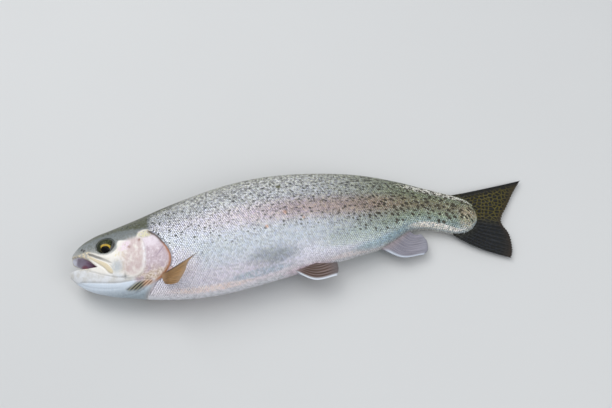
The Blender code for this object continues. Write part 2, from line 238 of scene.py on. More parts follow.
@dataclass(frozen=True)
class BodyForm:
    """The straight body, from the chin to the end of the tail's flesh."""

    back: Profile = Profile((
        (-0.5, -3), (0.6, 2), (2.5, 5.8), (5, 9.3), (10, 14.2), (20, 20.8), (40, 28.5), (66, 37.8),
        (96, 48), (135, 55.8), (175, 59.8), (203, 60.3), (235, 58.4), (273, 54.2), (320, 46), (350, 38),
        (378, 29.8), (400, 26), (418, 24), (430, 20), (437, 13), (439.6, 6),
    ))
    belly: Profile = Profile((
        (-0.5, 19), (0.6, 23), (2.5, 25.5), (5, 28), (10, 31.8), (20, 37.4), (40, 43.7), (66, 48.4),
        (96, 53.8), (125, 58), (155, 59.8), (200, 58.7), (235, 56), (270, 52.3), (300, 48), (325, 43),
        (340, 36.5), (350, 31), (361, 25), (378, 20.8), (400, 20.6), (418, 21.6), (430, 17.5), (437, 10),
        (439.6, 5),
    ))
    breadth: Profile = Profile((
        (-0.5, 4), (0.6, 6.6), (2.5, 8.6), (5, 10.4), (10, 13), (20, 16.2), (40, 20.6), (66, 24.2),
        (96, 26.6), (135, 29), (180, 30.6), (225, 30.2), (265, 27.5), (310, 22.5), (350, 17), (385, 12.8),
        (410, 10.3), (425, 8), (437, 5), (439.6, 3),
    ))
    widest: Profile = Profile(((-0.5, -12.5), (10, -10), (40, -8), (70, -5), (110, -2), (150, 0), (440, 0)))
    round_above: Profile = Profile(((-0.5, 2), (10, 2.1), (40, 2.35), (100, 2.2), (200, 2.05), (440, 2)))
    round_below: Profile = Profile((
        (-0.5, 2), (20, 2), (60, 1.85), (110, 2), (200, 2.15), (300, 1.9), (440, 2),
    ))
    lateral_line: Profile = Profile((
        (0, 7), (60, 11), (96.7, 10.5), (138.8, 5.3), (190.4, -1), (243, -3.5), (296.5, -5.1),
        (352.7, -0.3), (397.3, 4.8), (431.5, 4),
    ))
    front: float = -0.5
    rear: float = 439.6
    coat_depth: float = 0.35  # from the solids down to the scaled skin

    def frames(self, s: Array, above: Array) -> tuple[Array, Array, Array, Array]:
        """Sizes of the sections at these stations.

        Args:
            s: stations.
            above: True where the half above the widest level is meant.

        Returns:
            The widest level, the half height, the half breadth and the roundness, for the bare skin.
        """
        s = np.clip(s, self.front, self.rear)
        middle = self.widest.at(s)
        high = np.where(above, self.back.at(s) - middle, self.belly.at(s) + middle) - self.coat_depth
        power = np.where(above, self.round_above.at(s), self.round_below.at(s))
        return middle, high, self.breadth.at(s) - self.coat_depth, power

    def is_above(self, s: Array, u: Array) -> Array:
        """Whether places lie over the widest level of their sections."""
        return u > self.widest.at(np.clip(s, self.front, self.rear))

    def fullness(self, s: Array, u: Array, v: Array) -> Array:
        """How far out points lie in their sections: 1 on the bare skin, less inside it."""
        middle, high, wide, power = self.frames(s, self.is_above(s, u))
        return ((np.abs(u - middle) / high) ** power + (np.abs(v) / wide) ** power) ** (1 / power)

    def depth(self, s: Array, u: Array, v: Array) -> Array:
        """Distance of points from the bare skin; true near the skin.

        Args:
            s, u, v: places on the straight fish.

        Returns:
            Millimetres, negative inside it.
        """
        step = 0.05
        level = self.fullness(s, u, v)
        slope = np.sqrt(sum(
            (self.fullness(s + ds, u + du, v + dv) - self.fullness(s - ds, u - du, v - dv)) ** 2
            for ds, du, dv in np.eye(3) * step
        )) / (2 * step)
        return (level - 1) / np.maximum(slope, 0.01)

    def surface(self, s: Array, turn: Array) -> Array:
        """Points of the bare skin.

        Args:
            s: stations.
            turn: turns round the section, 0 at the back, pi / 2 on the left flank and pi at the belly.

        Returns:
            (s, u, v) rows.
        """
        up, side = np.cos(turn), np.sin(turn)
        middle, high, wide, power = self.frames(s, up > 0)
        reach = (np.abs(up) ** power + np.abs(side) ** power) ** (-1 / power)
        return np.stack(np.broadcast_arrays(s, middle + high * up * reach, wide * side * reach), -1)

    def turn_at(self, s: Array, u: Array, v: Array) -> Array:
        """The turn whose ray passes through these points; it is taken on the left flank."""
        middle, high, wide, _ = self.frames(s, self.is_above(s, u))
        return np.arctan2(np.abs(v) / wide, (u - middle) / high)

    def line_turn(self, s: Array) -> Array:
        """Where the lateral line crosses the sections.

        Args:
            s: stations.

        Returns:
            The turns there.
        """
        s = np.clip(s, self.front, self.rear)
        level = self.lateral_line.at(s)
        middle, high, _, power = self.frames(s, self.is_above(s, level))
        rise = np.clip((level - middle) / high, -0.95, 0.95)
        return np.arctan2((1 - np.abs(rise) ** power) ** (1 / power), rise)

    @cached_property
    def girths(self) -> tuple[Array, Array, Array]:
        """The skin unrolled.

        Returns:
            Stations, turns, and at each the distance round the left flank from the ridge of the back.
        """
        stations, turns = np.arange(0, self.rear, 2.0), np.linspace(-0.5, math.pi + 0.5, 180)
        rings = self.surface(stations[:, None], turns[None, :])
        arcs = np.linalg.norm(np.diff(rings, axis=1), axis=2).cumsum(1)
        arcs = np.concatenate([np.zeros((len(stations), 1)), arcs], axis=1)
        ridge = np.array([np.interp(0, turns, row) for row in arcs])
        return stations, turns, arcs - ridge[:, None]

    def girth(self, s: Array, turn: Array) -> Array:
        """Distance round from the ridge of the back, at these stations and turns."""
        stations, turns, arcs = self.girths
        return read_grid(arcs, s / (stations[1] - stations[0]), (turn - turns[0]) / (turns[1] - turns[0]))

    def lane(self, s: Array, u: Array, v: Array) -> Array:
        """Height of points in the fish's pattern: 1 on the back, 0 at the lateral line, -1 on the belly."""
        turn, line = self.turn_at(s, u, v), self.line_turn(s)
        return np.where(turn < line, 1 - turn / line, (line - turn) / (math.pi - line))


@dataclass(frozen=True)
class LyingPose:
    """How the straight fish lies on the floor."""

    heading: Profile = Profile((
        (0, -7), (40, -5), (80, -1), (120, 4), (160, 7.5), (200, 7), (240, 5), (280, 4),
        (320, 1.5), (350, -2), (380, -9), (400, -13), (420, -13), (437, -11), (480, -9),
    ))
    height: Profile = Profile((
        (0, 23.5), (40, 24.2), (80, 25), (130, 26.9), (180, 28.4), (225, 28), (265, 25.4), (310, 20.7),
        (350, 15.4), (385, 11.5), (410, 9.3), (437, 7.2), (490, 4.2),
    ))
    end: float = 490.0  # behind it the axis runs on straight
    origin: Pair = (0.0, 0.0)  # metres from the row's origin to the snout's tip

    def lay(self, points: Array, floor: float = 0.0) -> Array:
        """Bends points of the straight fish into the lying pose.

        Args:
            points: (s, u, v) rows in millimetres.
            floor: height in millimetres at which whatever hangs lower is pressed flat.

        Returns:
            Rows of metres in the row frame.
        """
        s, u, v = points.T
        axis = np.arange(-60.0, 560.0)
        run = np.radians(self.heading.at(np.clip(axis, 0, self.end)))
        axis_x, axis_y = np.cumsum(np.cos(run)), np.cumsum(np.sin(run))
        turn = np.interp(s, axis, run)
        x = np.interp(s, axis, axis_x) - np.interp(0, axis, axis_x) - u * np.sin(turn)
        y = np.interp(s, axis, axis_y) - np.interp(0, axis, axis_y) + u * np.cos(turn)
        z = np.maximum(self.height.at(np.clip(s, 0, self.end)) + v, floor)
        return np.column_stack((x, y, z)) * MM + np.array((*self.origin, 0.0))


@dataclass(frozen=True)
class EyeSeat:
    """Where the eyeballs sit, and their half sizes along s, u and v."""

    packed: Triple = (37.8, 5.0, 16.2)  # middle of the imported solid
    centre: Triple = (37.8, 4.3, 16.2)
    half: Triple = (9.6, 8.5, 7.0)


def find_pose(seat: EyeSeat) -> LyingPose:
    """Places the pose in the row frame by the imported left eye.

    Args:
        seat: the eyes' place on the straight fish.

    Returns:
        The pose, with its origin set.
    """
    low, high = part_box("eye_left")
    loose = LyingPose().lay(np.array([seat.packed]))[0]
    return LyingPose(origin=tuple(((low + high) / 2 - Vector(loose))[:2]))


# ---- the head


Layer = Enum("Layer", (  # side-view maps that the head's skin reads
    "HEIGHT", "COVER", "CHEEK", "JAW", "CREAM", "RIM", "STRIPES", "GOLD", "DARK", "FRECKLE", "AHEAD", "CROWN",
    "BARE", "RIDGE", "OLIVE", "UNDER", "WRINKLE", "DIP",
))


@dataclass(frozen=True)
class SideView:
    """How places of the head's side view lie to its lines, in millimetres where nothing else is said."""

    s: Array
    u: Array
    behind: Array  # distance behind the head's rear edge
    head: Array  # 1 on the head, 0 on the trunk
    free: Array  # 1 where the gill cover's edge is free of the nape
    shown: Array  # 1 on that edge above the throat
    eye: Array  # distance from the eye's centre, in eyeball radii
    maxilla: Array  # depth inside the upper jaw bone
    groove: Array  # depth inside the groove over that bone
    striped: Array  # depth inside the field of branchiostegal rays
    cheek: Array  # depth inside the cheek
    seam: Array  # distance from the lower jaw's upper seam
    crease: Array  # distance from the crease under the lower jaw
    cover_seam: Array  # distance from the seam low on the gill cover
    ridge: Array  # distance in front of the preopercle's edge
    crown: Array  # distance over the lower edge of the dark crown
    wrinkle: Array  # the wrinkles that fan over the cheek, from -1 to 1


@dataclass(frozen=True)
class Relief:
    """How far the head's bones and folds stand over the bare skin, and how deep its grooves go."""

    cover_edge: float = 0.55
    cover_lip: float = 0.25
    gill_slit: float = 1.35
    preopercle: float = 0.75
    preopercle_step: float = 0.45
    cover_seam: float = 0.22
    jaw_crease: float = 0.55
    jaw_seam: float = 0.35
    maxilla: float = 0.65
    maxilla_foot: float = 0.4
    groove: float = 0.7
    wrinkle: float = 0.05
    lid: float = 0.15
    socket: float = 1.2
    rays: float = 0.22
    cheek: float = 0.35
    nostril_rim: float = 0.45
    nostril: float = 1.3


@dataclass
class HeadLines:
    """The lines of the head in side view, rows of (s, u), and the maps of relief and colour they make."""

    form: BodyForm
    seat: EyeSeat
    heights: Relief = Relief()
    rim: Rows = (
        (79, 75), (82, 35), (85.5, 14.5), (92.5, 8.7), (98, 1.2), (102.5, -6.5), (105.5, -15.5), (105, -23.5),
        (101.5, -30), (96, -35.8), (88, -40.5), (80, -48.5), (66, -80),
    )
    ahead: Rows = ((-60, -80), (-60, 75))  # closes the rim's outline round the snout
    maxilla: Rows = (
        (19, -4.8), (22.7, -6.8), (27.2, -9.2), (31.6, -11.6), (37.1, -14.2), (41.6, -16.9), (45.1, -20.9),
        (47.5, -24.8), (47.2, -26.8), (45, -26.6), (42, -24.4), (39.5, -21.4), (35.5, -18.1), (30.6, -14.8),
        (25.8, -11.6), (21.7, -8.2),
    )
    groove: Rows = (
        (19, -2.6), (24.2, -3.8), (29, -6.2), (33.3, -8.2), (37.5, -10.4), (42.5, -13.4), (46, -16.6),
        (42.4, -15.4), (37.8, -13.2), (33.7, -11.2), (29.5, -9.4), (24.9, -7), (20.6, -4.6),
    )
    jaw_edge: Profile = Profile((  # upper edge of the lower jaw's white
        (-10, -14), (9.5, -18.6), (23, -22.1), (40, -27.5), (48, -27), (56, -28), (63, -32), (76, -34.5),
        (96, -37), (130, -40),
    ))
    jaw_seam: Rows = ((22.9, -22.1), (39.2, -27.7), (54.6, -31), (63, -30.9))
    jaw_crease: Rows = ((13, -31), (34, -34), (52.5, -35.6), (64.3, -35.1), (76, -35), (84, -36.5))
    preopercle: Rows = (
        (74, 13), (78.5, 3), (80.4, -7.8), (79.9, -20.7), (76.5, -29), (68, -32.5), (58, -31.5),
    )
    cover_seam: Rows = ((81, -28.5), (92, -26.5), (104, -24))
    stripes: Rows = (
        (59, -42), (65.2, -39.3), (68.2, -37.8), (75.3, -36.5), (81.1, -36.1), (85.5, -37.2), (86.2, -38.9),
        (83.5, -41.2), (79.4, -42), (76.5, -42.8), (72.9, -43.9), (70, -44.5), (65.7, -44), (61, -43.5),
    )
    crown: Rows = (
        (-4, -2.5), (2, -2), (8, -2.6), (14, -1.6), (18.5, -0.6), (24, -2.3), (30, -5), (37, -7), (44, -6.4),
        (47.8, -4), (50.5, -1), (50.4, 4.5), (51.5, 7.6), (57, 7.6), (62, 6.6), (67.6, 6.2), (70.5, 9.3),
        (72.8, 14), (78, 17.3), (85, 16.2), (90, 13.5), (96, 10),
    )
    cheek: Rows = (
        (27, -3.5), (37, -6.5), (47, -4), (53, 3), (62, 9.5), (74, 10), (80, 2), (81, -12), (79, -24),
        (72, -31), (60, -30), (49, -20), (41, -13), (33, -7),
    )
    olive_edge: Profile = Profile((
        (-4, 5), (7.6, 8.2), (26.4, 15.5), (49.2, 20), (62, 20), (73.3, 19), (84.3, 20), (100, 28), (124, 42),
    ))
    bare_base: Oval = ((101.5, -34), (7, 6.5))  # of the pectoral fin
    shaded_hollow: Oval = ((51.5, -20.5), (6.5, 7))  # painted shade of a hollow behind the jaw bone, grey
    gold_mark: Oval = ((81, 12), (9, 4.4))
    jaw_joint: Oval = ((59.6, -30), (1.2, 3.0))
    nostrils: Rows = ((11.8, 3.0), (14.6, 1.2))
    freckles: Rows = ((64.1, -0.8), (74.4, 5.6))
    fan: Pair = (48.0, -2.0)  # where the wrinkles of the cheek fan out from
    stripe: float = 2.6  # spacing of the branchiostegal rays
    rays_at: Pair = (62.0, -44.0)  # a place on the lowest of them
    ray_slope: float = 0.6
    spacing: float = 0.3  # of the maps' points
    low: Pair = (-4.0, -62.0)
    high: Pair = (124.0, 60.0)

    @cached_property
    def maps(self) -> dict[Layer, Array]:
        """All the maps."""
        view = self.view()
        return {Layer.HEIGHT: self.relief(view), **self.colours(view)}

    def view(self) -> SideView:
        """Measures the side view.

        Returns:
            Its measures on the maps' grid.
        """
        s, u = (np.arange(a, b, self.spacing) for a, b in zip(self.low, self.high))
        s, u = np.meshgrid(s, u, indexing="ij")
        behind = -depth_inside(np.concatenate([smooth_line(self.rim), self.ahead]), s, u)
        maxilla, groove, striped, cheek = (
            depth_inside(smooth_line(rows + rows[:1])[:-1], s, u)
            for rows in (self.maxilla, self.groove, self.stripes, self.cheek)
        )
        (seam, _), (crease, _), (cover_seam, _), (ridge, ridge_side), (crown, crown_side) = (
            line_distance(smooth_line(rows), s, u)
            for rows in (self.jaw_seam, self.jaw_crease, self.cover_seam, self.preopercle, self.crown)
        )
        on, up = s - self.fan[0], u - self.fan[1]
        reach, angle = np.hypot(on, up), np.arctan2(up, on)
        wrinkle = np.cos(angle * 26 + 0.3 * np.sin(reach * 0.5)) * ease(7, 13, reach) * ease(32, 24, reach)
        wrinkle = wrinkle * ease(-1, 4, cheek) * ease(0.2, -0.5, angle) * ease(-1.9, -1.4, angle)
        return SideView(
            s=s, u=u, behind=behind, head=ease(0.25, -0.25, behind), free=ease(18, 13, u),
            shown=ease(-43, -36, u), eye=oval_reach((self.seat.centre[:2], self.seat.half[:2]), s, u),
            maxilla=maxilla, groove=groove, striped=striped, cheek=cheek, seam=seam, crease=crease,
            cover_seam=cover_seam, ridge=-ridge * ridge_side, crown=crown * crown_side, wrinkle=wrinkle,
        )

    def colours(self, view: SideView) -> dict[Layer, Array]:
        """Shares of each colour.

        Args:
            view: the side view's measures.

        Returns:
            The maps, from 0 to 1, and how far ahead of its rear edge the head's places lie.
        """
        s, u, behind, head, eye = view.s, view.u, view.behind, view.head, view.eye
        high = ease(-8, 6, u)  # where the painted shadow line behind the gill cover is widest
        # painted shadow in the slit just behind the gill cover's free edge
        line = bump(behind - 0.6 - 0.4 * high, 0.7 + 0.9 * high) * view.free * (0.7 + 0.3 * high)
        # a dark ring round the eye and a dark mark at the jaw joint, with painted shade in the groove over the
        # upper jaw bone, the slit behind the gill cover, the lower jaw's seam and crease, and the nostrils
        dark = (
            ease(1.03, 0.95, eye) * 0.95 + ease(-0.6, 0.6, view.groove) * (0.9 - 0.35 * ease(32, 40, s))
            + line * (0.3 + 0.7 * view.shown) + bump(view.crease, 0.6) * 0.35 + bump(view.seam, 0.6) * 0.3
            + 0.55 * bump(oval_reach(self.jaw_joint, s, u), 1)
            + sum(bump(np.hypot(s - a, u - b), 1.5) for a, b in self.nostrils)
        )
        return {
            Layer.COVER: ease(1.5, -1.5, view.ridge) * view.free * ease(-40, -35, u) * head * ease(66, 72, s),
            Layer.CHEEK: ease(-2, 5, view.cheek) * ease(1.0, 1.2, eye),
            Layer.JAW: ease(-2.5, 2.5, self.jaw_edge.at(s) - u) * head,
            Layer.CREAM: ease(-0.4, 0.6, view.maxilla) * ease(17, 24, s),
            Layer.RIM: bump(behind + 0.7, 1.8) * view.free * (0.2 + 0.8 * view.shown),
            Layer.STRIPES: ease(-1.5, 2.0, view.striped),
            Layer.GOLD: ease(1.3, 0.6, oval_reach(self.gold_mark, s, u)) * head,
            Layer.DARK: np.clip(dark, 0, 1),
            Layer.FRECKLE: sum(bump(np.hypot(s - a, u - b), 1.6) for a, b in self.freckles),
            Layer.AHEAD: -behind,
            Layer.CROWN: ease(-0.8, 0.9, view.crown) * ease(-14, -4, u),
            Layer.BARE: ease(1.15, 0.85, oval_reach(self.bare_base, s, u)),
            # painted highlight along the preopercle's raised edge
            Layer.RIDGE: bump(view.ridge - 1.0, 1.6) * ease(4, -3, u) * ease(-29, -18, u) * ease(72, 77, s),
            Layer.OLIVE: ease(-2.5, 2.5, u - self.olive_edge.at(s)) * head,
            Layer.UNDER: ease(-1.2, 1.5, Profile(self.jaw_crease).at(s) - u),
            Layer.WRINKLE: ease(0.1, 0.9, view.wrinkle),
            # painted shade of the hollow behind the jaw bone
            Layer.DIP: ease(1.5, 0.2, oval_reach(self.shaded_hollow, s, u)),
        }

    def relief(self, view: SideView) -> Array:
        """Heights over the bare skin that the bones and folds of the head raise.

        Args:
            view: the side view's measures.

        Returns:
            Heights in millimetres.
        """
        s, u, behind, head, free, ridge, eye = (
            view.s, view.u, view.behind, view.head, view.free, view.ridge, view.eye
        )
        tall = self.heights
        height = self.form.coat_depth * head
        cover = tall.cover_edge * bump(behind + 3.2, 2.2) - tall.cover_lip * bump(behind, 1.1)
        height += free * head * cover
        height -= free * (1 - head) * tall.gill_slit * bump(behind - 0.9, 1.1)
        fold = tall.preopercle * bump(np.maximum(ridge - 1.2, 0), 3.2) * ease(-0.9, 0.5, ridge)
        height += fold * ease(14, 6, u)
        height -= tall.preopercle_step * bump(ridge + 1.2, 1.1) * ease(12, 6, u) * ease(56, 62, s)
        crease = tall.jaw_crease * bump(view.crease, 1.0) * ease(10, 20, s)
        height -= tall.cover_seam * bump(view.cover_seam, 0.7) + crease
        height -= tall.jaw_seam * bump(view.seam, 0.8)
        height += tall.maxilla * ease(-0.4, 1.1, view.maxilla) * ease(16, 24, s)
        foot = tall.maxilla_foot * bump(view.maxilla + 0.6, 0.8) * ease(26, 34, s)
        height -= tall.groove * ease(-0.9, 1.0, view.groove) + foot
        height += tall.wrinkle * view.wrinkle
        inner = tall.socket * bump(np.minimum(eye - 0.95, 0), 0.1) * (eye < 1.1)
        height += tall.lid * bump(eye - 1.14, 0.1) - inner
        height -= tall.socket * bump(np.maximum(eye - 0.95, 0), 0.05) * (eye >= 0.95)
        waves = np.cos(self.across_rays(s, u) * 2 * np.pi / self.stripe)
        height += tall.rays * waves * ease(-0.5, 1.5, view.striped)
        height += tall.cheek * ease(0, 7, view.cheek) * ease(1.15, 1.5, eye)
        for pit_s, pit_u in self.nostrils:
            hole = np.hypot(s - pit_s, u - pit_u)
            height += tall.nostril_rim * bump(hole - 1.25, 0.5) - tall.nostril * bump(hole, 0.75)
        return height

    def across_rays(self, s: Array, u: Array) -> Array:
        """How far up across the branchiostegal rays places lie."""
        return (u - self.rays_at[1]) - (s - self.rays_at[0]) * self.ray_slope

    def read(self, layer: Layer, s: Array, u: Array) -> Array:
        """Reads one map at places of the side view; beyond the map its edge runs on."""
        return read_grid(self.maps[layer], (s - self.low[0]) / self.spacing, (u - self.low[1]) / self.spacing)


@dataclass(frozen=True)
class Mouth:
    """The open mouth: a wedge right across between the lips, a hollow behind them, and the tongue."""

    gape: Rows = (
        (31, -18.6), (22, -10.8), (14.5, -6.2), (7, -4), (0, -3.2), (-20, -2), (-20, -20.6), (0, -20),
        (9.5, -18.6), (21, -19),
    )
    hollow: Rows = (  # s, middle u, half height, half breadth
        (4, -11.5, 5, 5.5), (7, -12, 9.5, 8.5), (14, -14, 11.5, 11), (25, -18, 11.5, 13.2),
        (38, -22, 9.5, 14), (50, -25, 7, 11), (60, -27, 4, 6.5), (66, -28, 1, 1.5),
    )
    tongue: Rows = (
        (8.5, -25, 1, 1.5), (11, -24.6, 2.6, 3.4), (15, -24.4, 3.6, 5), (24, -26, 4.6, 6.4),
        (38, -27.5, 4.6, 6.4), (48, -28.5, 3, 5),
    )
    upper_lip: Profile = Profile(((0, -3.2), (7, -4), (14.5, -6.2), (22, -10.8), (31, -18.6)))
    sag: float = 4.5  # of the upper lip, on the flank that the fish lies on
    lip_round: float = 1.3
    fold_round: float = 0.9
    tongue_groove: float = 0.5

    def oval_depth(self, rows: Rows, s: Array, u: Array, v: Array) -> Array:
        """Distance from an oval tube, negative inside it.

        Args:
            rows: the tube's s, middle u, half height and half breadth.
            s, u, v: places on the straight fish.

        Returns:
            Distances in millimetres.
        """
        stations, *sizes = np.array(rows, float).T
        at = np.clip(s, stations[0], stations[-1])
        middle, high, wide = (Profile(tuple(zip(stations, size))).at(at) for size in sizes)
        a, b = (u - middle) / high, v / wide
        level = np.hypot(a, b)
        slope = np.hypot(a / high, b / wide) / np.maximum(level, 0.001)
        ends = np.maximum(stations[0] - s, s - stations[-1])
        return soft_max((level - 1) / np.maximum(slope, 0.02), ends, 1.5)


@dataclass
class HeadField:
    """The head as one field: negative in the flesh, zero on its skin, positive outside."""

    form: BodyForm
    lines: HeadLines
    mouth: Mouth
    step: float = 0.62
    front: float = -3.0
    rear: float = 112.0
    levels: Pair = (-60.0, 58.0)  # between which the field is netted
    breadths: int = 48  # steps to either side that it is netted over
    front_round: float = 1.4
    slit: Rows = ((84, 17), (76, 11), (66, 6), (57, 2.6), (52, 0))  # the gill slit under the throat: (s, v)
    slit_depth: float = 0.9
    jaw_fold: float = 0.45  # depth of the folds inside the two halves of the jaw

    def under_relief(self, s: Array, u: Array, v: Array) -> Array:
        """Heights on the throat, where the gill slits run forward to meet.

        Args:
            s, u, v: places on the straight fish.

        Returns:
            Heights in millimetres, none of them over 0.
        """
        under = ease(0.72, 0.9, -u / self.form.belly.at(np.clip(s, 0, self.rear)))
        distance, _ = line_distance(smooth_line(self.slit, 4.0), s, np.abs(v))
        jaws = bump(np.abs(np.abs(v) - 0.16 * s - 2), 1.0) * ease(8, 16, s) * ease(60, 48, s)
        return -under * (self.slit_depth * bump(distance, 0.9) * ease(90, 84, s) + self.jaw_fold * jaws)

    def at(self, s: Array, u: Array, v: Array) -> Array:
        """Reads the field.

        Args:
            s, u, v: places on the straight fish.

        Returns:
            The field's values.
        """
        side = ease(0.1, 0.3, np.abs(v) / self.form.breadth.at(np.clip(s, 0, self.rear)))
        relief = self.lines.read(Layer.HEIGHT, s, u)
        base = self.form.coat_depth * ease(100, 86, s)
        flesh = self.form.depth(s, u, v) - base - (relief - base) * side
        flesh = flesh - self.under_relief(s, u, v)
        flesh = soft_max(flesh, self.form.front + 0.25 - s, self.front_round)
        mouth = self.mouth
        sagging = mouth.upper_lip.at(np.clip(s, 0, 31)) - mouth.sag * ease(3, -6, v) - u
        gape = np.minimum(depth_inside(np.array(mouth.gape), s, u), sagging)
        flesh = soft_max(flesh, gape, mouth.lip_round)
        flesh = soft_max(flesh, -mouth.oval_depth(mouth.hollow, s, u, v), mouth.fold_round)
        groove = mouth.tongue_groove * bump(v, 1.2) * ease(-28, -24, u)
        return -soft_max(-flesh, -mouth.oval_depth(mouth.tongue, s, u, v) - groove, mouth.fold_round)

    def snapped(self, points: Array) -> Array:
        """Moves points onto the skin.

        Args:
            points: (s, u, v) rows near the skin.

        Returns:
            The points moved.
        """
        rounds, nudge, steepness, most = 3, 0.08, 0.2, 0.4
        for _ in range(rounds):
            level = self.at(*points.T)
            slope = np.column_stack([
                (self.at(*(points + d).T) - self.at(*(points - d).T)) / (2 * nudge) for d in np.eye(3) * nudge
            ])
            move = level / np.maximum((slope**2).sum(1), steepness)
            points = points - slope * np.clip(move, -most, most)[:, None]
        return points

    def mesh(self) -> tuple[Array, Array]:
        """The head's skin as a net of quads, open at its rear.

        Returns:
            (s, u, v) rows, and rows of four point numbers.
        """
        s = self.rear + np.arange(-math.ceil((self.rear - self.front) / self.step), 1) * self.step
        u = np.arange(*self.levels, self.step)
        v = np.arange(-self.breadths, self.breadths + 1) * self.step
        whole = self.at(s[:, None, None], u[None, :, None], v[None, None, :])
        return surface_net(whole, np.array((s[0], u[0], v[0])), self.step)


def surface_net(values: Array, low: Array, step: float) -> tuple[Array, Array]:
    """Nets the zero surface of a field on a grid.

    Args:
        values: the field at the grid's points.
        low: the grid's first point.
        step: the grid's spacing.

    Returns:
        Points, and rows of four point numbers that face the positive side.
    """
    inside = values < 0
    shape = tuple(n - 1 for n in values.shape)
    corners = [(i, j, k) for i in (0, 1) for j in (0, 1) for k in (0, 1)]
    count = sum(inside[i:i + shape[0], j:j + shape[1], k:k + shape[2]].astype(np.int8) for i, j, k in corners)
    cells = np.argwhere((count > 0) & (count < 8))
    number = np.full(shape, -1, np.int64)
    number[tuple(cells.T)] = np.arange(len(cells))
    total, crossings = np.zeros((len(cells), 3)), np.zeros(len(cells))
    for first in corners:
        for axis in range(3):
            if first[axis]:
                continue
            second = tuple(1 if a == axis else first[a] for a in range(3))
            a = values[tuple((cells + first).T)]
            b = values[tuple((cells + second).T)]
            cross = (a < 0) != (b < 0)
            share = np.where(cross, a / np.where(cross, a - b, 1), 0)
            place = np.array(first, float) + share[:, None] * (np.arange(3) == axis)
            total += np.where(cross[:, None], place, 0)
            crossings += cross
    points = low + (cells + total / crossings[:, None]) * step
    quads = []
    for axis in range(3):
        b, c = (axis + 1) % 3, (axis + 2) % 3
        start = np.argwhere(np.diff(inside.astype(np.int8), axis=axis) != 0)
        row, column = start[:, b], start[:, c]
        start = start[(row > 0) & (column > 0) & (row < shape[b]) & (column < shape[c])]
        ring = []
        for back_b, back_c in ((1, 1), (0, 1), (0, 0), (1, 0)):
            cell = start.copy()
            cell[:, b] -= back_b
            cell[:, c] -= back_c
            ring.append(number[tuple(cell.T)])
        quad = np.column_stack(ring)
        leaving = inside[tuple(start.T)]
        quads.append(np.where(leaving[:, None], quad, quad[:, ::-1]))
    return points, np.concatenate(quads)


# ---- meshes


def linked(name: str, data: bpy.types.ID) -> Object:
    """Makes an object and links it to the scene.

    Args:
        name: its name.
        data: its mesh, lamp or camera.

    Returns:
        The object.
    """
    obj = bpy.data.objects.new(name, data)
    bpy.context.scene.collection.objects.link(obj)
    return obj


@dataclass
class Dresser:
    """Writes on meshes of the straight fish the attributes that all finishes read, and lays them down."""

    form: BodyForm
    pose: LyingPose
    lines: HeadLines
    groups: tuple[tuple[str, Layer, Layer, Layer], ...] = (
        ("face", Layer.COVER, Layer.CHEEK, Layer.JAW), ("trim", Layer.CREAM, Layer.RIM, Layer.STRIPES),
        ("glints", Layer.GOLD, Layer.DARK, Layer.FRECKLE), ("upper", Layer.CROWN, Layer.BARE, Layer.RIDGE),
        ("folds", Layer.OLIVE, Layer.UNDER, Layer.WRINKLE), ("dips", Layer.DIP, Layer.DIP, Layer.DIP),
    )
    nape: float = 6.0  # how much softer the head's edge is on the nape

    def vectors(self, mesh: bpy.types.Mesh, name: str, rows: Array) -> None:
        """Stores three values for each vertex under a name."""
        layer = mesh.attributes.new(name, "FLOAT_VECTOR", "POINT")
        layer.data.foreach_set("vector", np.ascontiguousarray(rows, np.float32).ravel())

    def build(self, name: str, points: Array, faces: Array | list[Face], floor: float = 0.0) -> Object:
        """Makes an object of the laid fish.

        Args:
            name: the piece's name.
            points: (s, u, v) rows in millimetres.
            faces: rows of point numbers.
            floor: height in millimetres at which it is pressed flat.

        Returns:
            The object, linked to the scene.
        """
        mesh = bpy.data.meshes.new(name)
        rows = faces.tolist() if isinstance(faces, np.ndarray) else faces
        mesh.from_pydata(self.pose.lay(points, floor).tolist(), [], rows)
        mesh.shade_smooth()
        self.vectors(mesh, "body", points * SCALE_OF_BODY)
        return linked(name, mesh)

    def mark(self, obj: Object, points: Array, mouth: Array | None = None) -> None:
        """Adds the attributes that the markings of skin and scales read.

        Args:
            obj: the object whose mesh takes them.
            points: its (s, u, v) rows.
            mouth: share of the mouth's lining at each point, none by default.
        """
        s, u, v = points.T
        mouth = np.zeros(len(points)) if mouth is None else mouth
        ahead = self.lines.read(Layer.AHEAD, s, u)
        nape = self.nape * ease(12, 22, u)
        head = ease(-0.6, 0.6, ahead / (1 + nape) + 0.4 * nape / self.nape)
        self.vectors(obj.data, "lane", np.column_stack((self.form.lane(s, u, v), head, mouth)))
        girth = self.form.girth(s, self.form.turn_at(s, u, v)) * np.where(v < 0, -1, 1)
        self.vectors(obj.data, "flat", np.column_stack((s, girth, np.zeros(len(s)))) * SCALE_OF_BODY)
        for name, *layers in self.groups:
            self.vectors(obj.data, name, np.column_stack([self.lines.read(layer, s, u) for layer in layers]))


def ring_of(quads: Array) -> Array:
    """Finds the one open border of a net.

    Args:
        quads: its faces, rows of four point numbers.

    Returns:
        The border's point numbers, in its faces' own direction.
    """
    ends = np.concatenate([quads[:, [k, (k + 1) % 4]] for k in range(4)])
    pairs = set(map(tuple, ends.tolist()))
    after = {a: b for a, b in pairs if (b, a) not in pairs}
    start = min(after)
    ring = [start]
    while after[ring[-1]] != start:
        ring.append(after[ring[-1]])
    return np.array(ring)


